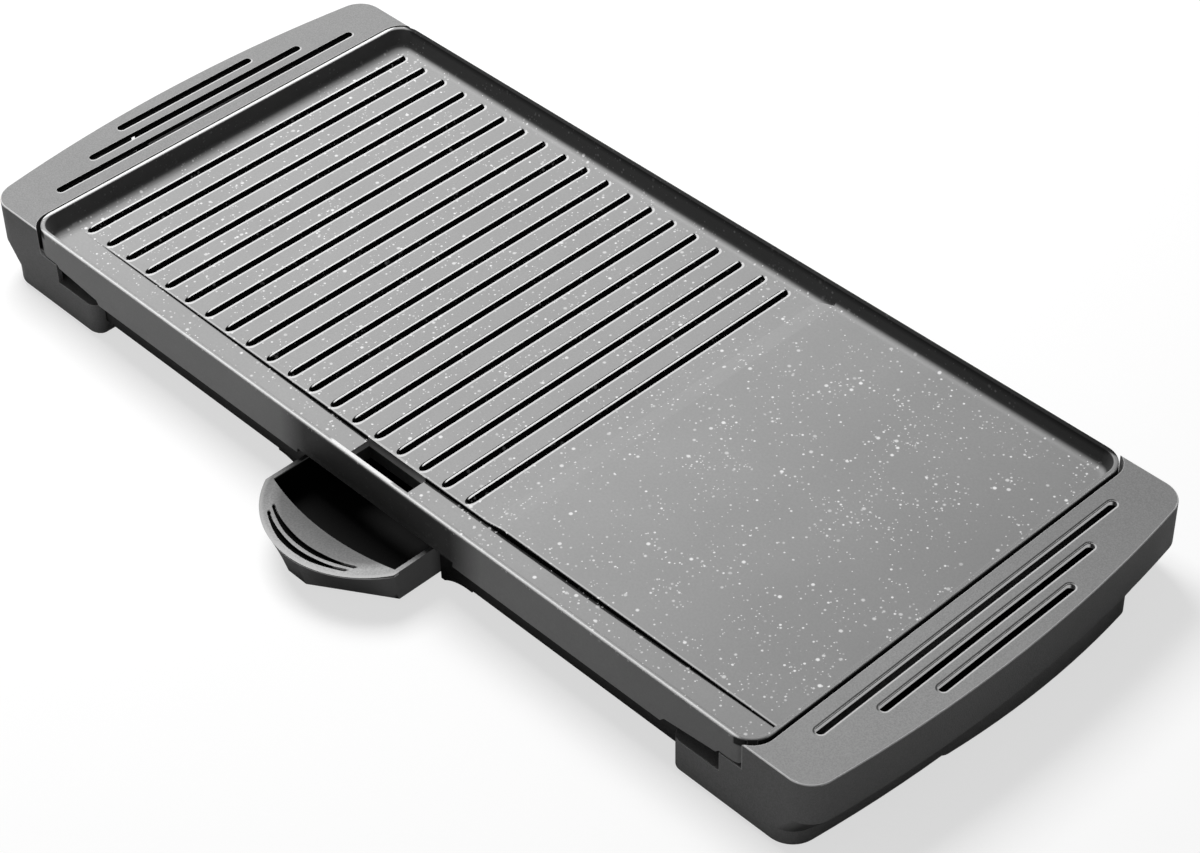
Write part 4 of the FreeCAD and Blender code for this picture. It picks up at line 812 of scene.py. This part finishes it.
class RuleTree:
    """A Geometry Nodes tree with named number inputs and one geometry output."""

    def __init__(self, name, sizes):
        self.tree = bpy.data.node_groups.new(name, "GeometryNodeTree")
        self.sizes = sizes
        self.identifiers = {}
        self.tree.interface.new_socket("Geometry", in_out="OUTPUT", socket_type="NodeSocketGeometry")
        for label, value in sizes.items():
            kind = "NodeSocketInt" if isinstance(value, int) else "NodeSocketFloat"
            socket = self.tree.interface.new_socket(label, in_out="INPUT", socket_type=kind)
            self.identifiers[label] = socket.identifier
        self.given = self.tree.nodes.new("NodeGroupInput").outputs
        self.result = self.tree.nodes.new("NodeGroupOutput")

    def node(self, kind, inputs=None, **settings):
        node = self.tree.nodes.new(kind)
        for name, value in settings.items():
            setattr(node, name, value)
        for key, value in (inputs or {}).items():
            self.join(value, node.inputs[key])
        return node

    def join(self, value, socket):
        if isinstance(value, (int, float, tuple, bpy.types.Material)):
            socket.default_value = value
        else:
            self.tree.links.new(value, socket)

    def math(self, operation, first, second, clamp=False):
        node = self.node("ShaderNodeMath", {0: first, 1: second}, operation=operation, use_clamp=clamp)
        return node.outputs[0]

    def point(self, x, y, z):
        return self.node("ShaderNodeCombineXYZ", {0: x, 1: y, 2: z}).outputs[0]

    def row(self, count, start, offset):
        return self.node("GeometryNodeMeshLine", {"Count": count, "Start Location": start, "Offset": offset},
                         mode="OFFSET").outputs[0]

    def copies(self, points, solid):
        return self.node("GeometryNodeInstanceOnPoints", {"Points": points, "Instance": solid}).outputs[0]

    def finish(self, geometry, material):
        realized = self.node("GeometryNodeRealizeInstances", {0: geometry}).outputs[0]
        painted = self.node("GeometryNodeSetMaterial", {"Geometry": realized, "Material": material})
        self.material = material
        self.tree.links.new(painted.outputs[0], self.result.inputs[0])

    def baked(self, name):
        """The tree's result as a plain mesh object."""
        holder = bpy.data.objects.new(name + "_rule", bpy.data.meshes.new(name + "_rule"))
        scene.collection.objects.link(holder)
        modifier = holder.modifiers.new("rule", "NODES")
        modifier.node_group = self.tree
        for label, value in self.sizes.items():
            modifier[self.identifiers[label]] = value
        bpy.context.view_layer.update()
        graph = bpy.context.evaluated_depsgraph_get()
        mesh = bpy.data.meshes.new_from_object(holder.evaluated_get(graph), depsgraph=graph)
        mesh.name = name
        mesh.materials.clear()
        mesh.materials.append(self.material)
        bpy.data.objects.remove(holder)
        piece = bpy.data.objects.new(name, mesh)
        scene.collection.objects.link(piece)
        return piece


# The ribs

def taper(rule, distance_in, run):
    """0 at the tip, 1 from run onwards, rising like a blunt point."""
    left = rule.math("SUBTRACT", 1.0, rule.math("DIVIDE", distance_in, run, clamp=True))
    return rule.math("POWER", rule.math("SUBTRACT", 1.0, rule.math("MULTIPLY", left, left)), 0.5)


def rib_spine(rule):
    """A line from the back to the front whose radius falls to nearly nothing at both tips."""
    given = rule.given
    line = rule.node("GeometryNodeCurvePrimitiveLine", {"Start": rule.point(0.0, given["Back Y"], 0.0),
                                                        "End": rule.point(0.0, given["Front Y"], 0.0)})
    spine = rule.node("GeometryNodeResampleCurve", {"Curve": line.outputs[0], "Count": RIB_STEPS})
    position = rule.node("GeometryNodeInputPosition").outputs[0]
    place_y = rule.node("ShaderNodeSeparateXYZ", {0: position}).outputs[1]
    from_front = rule.math("SUBTRACT", place_y, given["Front Y"])
    from_back = rule.math("SUBTRACT", given["Back Y"], place_y)
    scale = rule.math("MINIMUM", taper(rule, from_front, given["Front Taper"]),
                      taper(rule, from_back, given["Back Taper"]))
    scale = rule.math("MAXIMUM", scale, RIB_TIP_SCALE)
    return rule.node("GeometryNodeSetCurveRadius", {"Curve": spine.outputs[0], "Radius": scale}).outputs[0]


def rib_profile(rule):
    """A rib's cross-section: a flat crest on sloping flanks that reach into the floor."""
    given = rule.given
    half_crest = rule.math("MULTIPLY", given["Crest Width"], 0.5)
    flare = rule.math("SUBTRACT", rule.math("MULTIPLY", given["Base Width"], 0.5), half_crest)
    half_base = rule.math("ADD", half_crest, rule.math("MULTIPLY", flare, 1.0 + RIB_SINK))
    low = rule.math("MULTIPLY", given["Height"], RIB_SINK)
    high = rule.math("MULTIPLY", given["Height"], -1.0)
    outline = rule.node("GeometryNodeCurvePrimitiveQuadrilateral", mode="POINTS")
    corners = ((1.0, half_base, low), (-1.0, half_base, low),
               (-1.0, half_crest, high), (1.0, half_crest, high))
    for number, (side, half, height) in enumerate(corners, start=1):
        corner = rule.point(rule.math("MULTIPLY", half, side), height, 0.0)
        rule.join(corner, outline.inputs[f"Point {number}"])
    rounded = rule.node("GeometryNodeFilletCurve", {
        "Curve": outline.outputs[0], "Radius": RIB_ROUNDING, "Count": RIB_ROUNDING_STEPS}, mode="POLY")
    return rounded.outputs[0]


def rib_set():
    """Every rib: the profile swept along Y and drawn to a point at both ends."""
    rule = RuleTree("rib_rule", RIB_SIZES)
    given = rule.given
    radius = rule.node("GeometryNodeInputRadius").outputs[0]
    swept = rule.node("GeometryNodeCurveToMesh", {
        "Curve": rib_spine(rule), "Profile Curve": rib_profile(rule), "Scale": radius, "Fill Caps": True})
    rib = rule.node("GeometryNodeSetShadeSmooth", {"Geometry": swept.outputs[0], "Shade Smooth": True})
    places = rule.row(given["Count"], rule.point(given["First X"], 0.0, given["Floor Z"]),
                      rule.point(given["Pitch"], 0.0, 0.0))
    rule.finish(rule.copies(places, rib.outputs[0]), rib_coating)
    piece = rule.baked("plate_ribs")
    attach(piece, "plate")


# Feet and cover screws, turned from an outline and set out in rows

def turned(rule, outline):
    """A closed solid of revolution about Z through the outline's (radius, height) points."""
    rings = rule.node("GeometryNodeJoinGeometry")
    for (first_radius, first), (next_radius, after) in zip(outline, outline[1:]):
        if after >= first:
            bottom, top, base = first_radius, next_radius, first
        else:
            bottom, top, base = next_radius, first_radius, after
        ring = rule.node("GeometryNodeMeshCone", {
            "Vertices": rule.given["Sides"], "Radius Bottom": bottom, "Radius Top": top,
            "Depth": max(abs(after - first), LEAST_RISE)}, fill_type="NONE")
        placed = rule.node("GeometryNodeTransform", {
            "Geometry": ring.outputs["Mesh"], "Translation": (0, 0, base)})
        rule.join(placed.outputs[0], rings.inputs[0])
    closed = rule.node("GeometryNodeMergeByDistance", {"Geometry": rings.outputs[0], "Distance": JOINING_GAP})
    return closed.outputs[0]


def in_rows(rule, solid):
    """The solid at two places along Y in each of four rows, mirrored about X = 0."""
    given = rule.given
    rows = rule.node("GeometryNodeJoinGeometry")
    start_y = rule.math("SUBTRACT", given["Middle Y"], given["Half Span"])
    step = rule.point(0.0, rule.math("MULTIPLY", given["Half Span"], 2.0), 0.0)
    for label in ("Inner X", "Outer X"):
        for side in (-1.0, 1.0):
            start = rule.point(rule.math("MULTIPLY", given[label], side), start_y, 0.0)
            rule.join(rule.row(2, start, step), rows.inputs[0])
    return rule.copies(rows.outputs[0], solid)


def foot_pad_set():
    """Ringed rubber feet whose necks reach up into the bottom covers."""
    rule = RuleTree("foot_rule", FOOT_SIZES)
    rule.finish(in_rows(rule, turned(rule, FOOT_OUTLINE)), foot_rubber)
    return rule.baked("rubber_feet")


def cover_screw_set():
    """Pan heads with a cross recess, seen from below."""
    rule = RuleTree("screw_rule", SCREW_SIZES)
    long, narrow = rule.given["Recess Length"], rule.given["Recess Width"]
    cut = rule.node("GeometryNodeMeshBoolean", {"Mesh 1": turned(rule, SCREW_OUTLINE)},
                    operation="DIFFERENCE", solver="EXACT")
    cross = rule.node("GeometryNodeMeshBoolean", operation="UNION", solver="EXACT")
    for across, along in ((long, narrow), (narrow, long)):
        bar = rule.node("GeometryNodeMeshCube", {"Size": rule.point(across, along, RECESS_DEPTH * 2)})
        rule.join(bar.outputs["Mesh"], cross.inputs["Mesh 2"])
    rule.join(cross.outputs["Mesh"], cut.inputs["Mesh 2"])
    rule.finish(in_rows(rule, cut.outputs["Mesh"]), plated_steel)
    return rule.baked("cover_screw_heads")


def face_outwards(piece):
    faces = bmesh.new()
    faces.from_mesh(piece.data)
    bmesh.ops.recalc_face_normals(faces, faces=faces.faces)
    faces.to_mesh(piece.data)
    faces.free()


plate_without_ribs()
rib_set()
for piece, node, slot in ((foot_pad_set(), "foot_pads", "foot_rubber"),
                          (cover_screw_set(), "cover_screws", "plated_steel")):
    face_outwards(piece)
    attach(piece, "base")
    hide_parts(node)


# Floor, light and camera

def mix_by_camera_ray(tree, output, unseen, seen):
    """Joins output to one shader for what the camera sees and another for the light it gives."""
    path = tree.nodes.new("ShaderNodeLightPath")
    mix = tree.nodes.new("ShaderNodeMixShader")
    tree.links.new(path.outputs["Is Camera Ray"], mix.inputs[0])
    tree.links.new(unseen.outputs[0], mix.inputs[1])
    tree.links.new(seen.outputs[0], mix.inputs[2])
    tree.links.new(mix.outputs[0], output.inputs["Surface"])


def pale_floor():
    """A white table top: it catches the shadow and reads white to the camera."""
    bpy.ops.mesh.primitive_plane_add(size=FLOOR_SIZE, location=(0, 0, FLOOR_Z))
    floor = bpy.context.active_object
    floor.name = "table_top"
    material = bpy.data.materials.new("white_table")
    material.use_nodes = True
    tree = material.node_tree
    tree.nodes.clear()
    output = tree.nodes.new("ShaderNodeOutputMaterial")
    matt = tree.nodes.new("ShaderNodeBsdfDiffuse")
    matt.inputs["Color"].default_value = grey(0.50) + (1.0,)
    shaded = tree.nodes.new("ShaderNodeBsdfDiffuse")
    shaded.inputs["Color"].default_value = grey(0.36) + (1.0,)
    lift = tree.nodes.new("ShaderNodeEmission")
    lift.inputs["Strength"].default_value = 0.66
    lifted = tree.nodes.new("ShaderNodeAddShader")
    tree.links.new(shaded.outputs[0], lifted.inputs[0])
    tree.links.new(lift.outputs[0], lifted.inputs[1])
    mix_by_camera_ray(tree, output, matt, lifted)
    floor.data.materials.append(material)


def white_world():
    world = bpy.data.worlds.new("studio")
    scene.world = world
    world.use_nodes = True
    tree = world.node_tree
    tree.nodes.clear()
    output = tree.nodes.new("ShaderNodeOutputWorld")
    dim = tree.nodes.new("ShaderNodeBackground")
    dim.inputs["Strength"].default_value = WORLD_STRENGTH
    white = tree.nodes.new("ShaderNodeBackground")
    white.inputs["Strength"].default_value = 1.0
    for node in (dim, white):
        node.inputs["Color"].default_value = (1, 1, 1, 1)
    mix_by_camera_ray(tree, output, dim, white)


def soft_box(name, place, aim, size, level):
    """A square lamp; level 1 lights a facing surface at aim to its own colour."""
    lamp = bpy.data.lights.new(name, "AREA")
    lamp.shape = "SQUARE"
    lamp.size = size
    place, aim = Vector(place), Vector(aim)
    lamp.energy = level * math.pi ** 2 * (place - aim).length_squared
    holder = bpy.data.objects.new(name, lamp)
    holder.location = place
    holder.rotation_euler = (aim - place).to_track_quat("-Z", "Y").to_euler()
    scene.collection.objects.link(holder)


def photo_camera():
    azimuth, height, roll = (math.radians(a) for a in (CAMERA_AZIMUTH, CAMERA_HEIGHT, CAMERA_ROLL))
    back = Vector((math.sin(azimuth) * math.cos(height), -math.cos(azimuth) * math.cos(height),
                   math.sin(height)))
    right = Vector((math.cos(azimuth), math.sin(azimuth), 0))
    up = back.cross(right)
    side = right * math.cos(roll) + up * math.sin(roll)
    top = up * math.cos(roll) - right * math.sin(roll)
    place = Vector(CAMERA_TARGET) + back * CAMERA_DISTANCE
    data = bpy.data.cameras.new("photo_camera")
    data.sensor_width = CAMERA_SENSOR
    data.lens = CAMERA_LENS
    camera = bpy.data.objects.new("photo_camera", data)
    camera.matrix_world = Matrix(((side.x, top.x, back.x, place.x), (side.y, top.y, back.y, place.y),
                                  (side.z, top.z, back.z, place.z), (0, 0, 0, 1)))
    scene.collection.objects.link(camera)
    scene.camera = camera


pale_floor()
white_world()
soft_box("key_light", place=(-0.85, 0.25, 1.50), aim=(0, 0, 0.04), size=0.9, level=1.2)
photo_camera()
scene.view_settings.view_transform = "Standard"
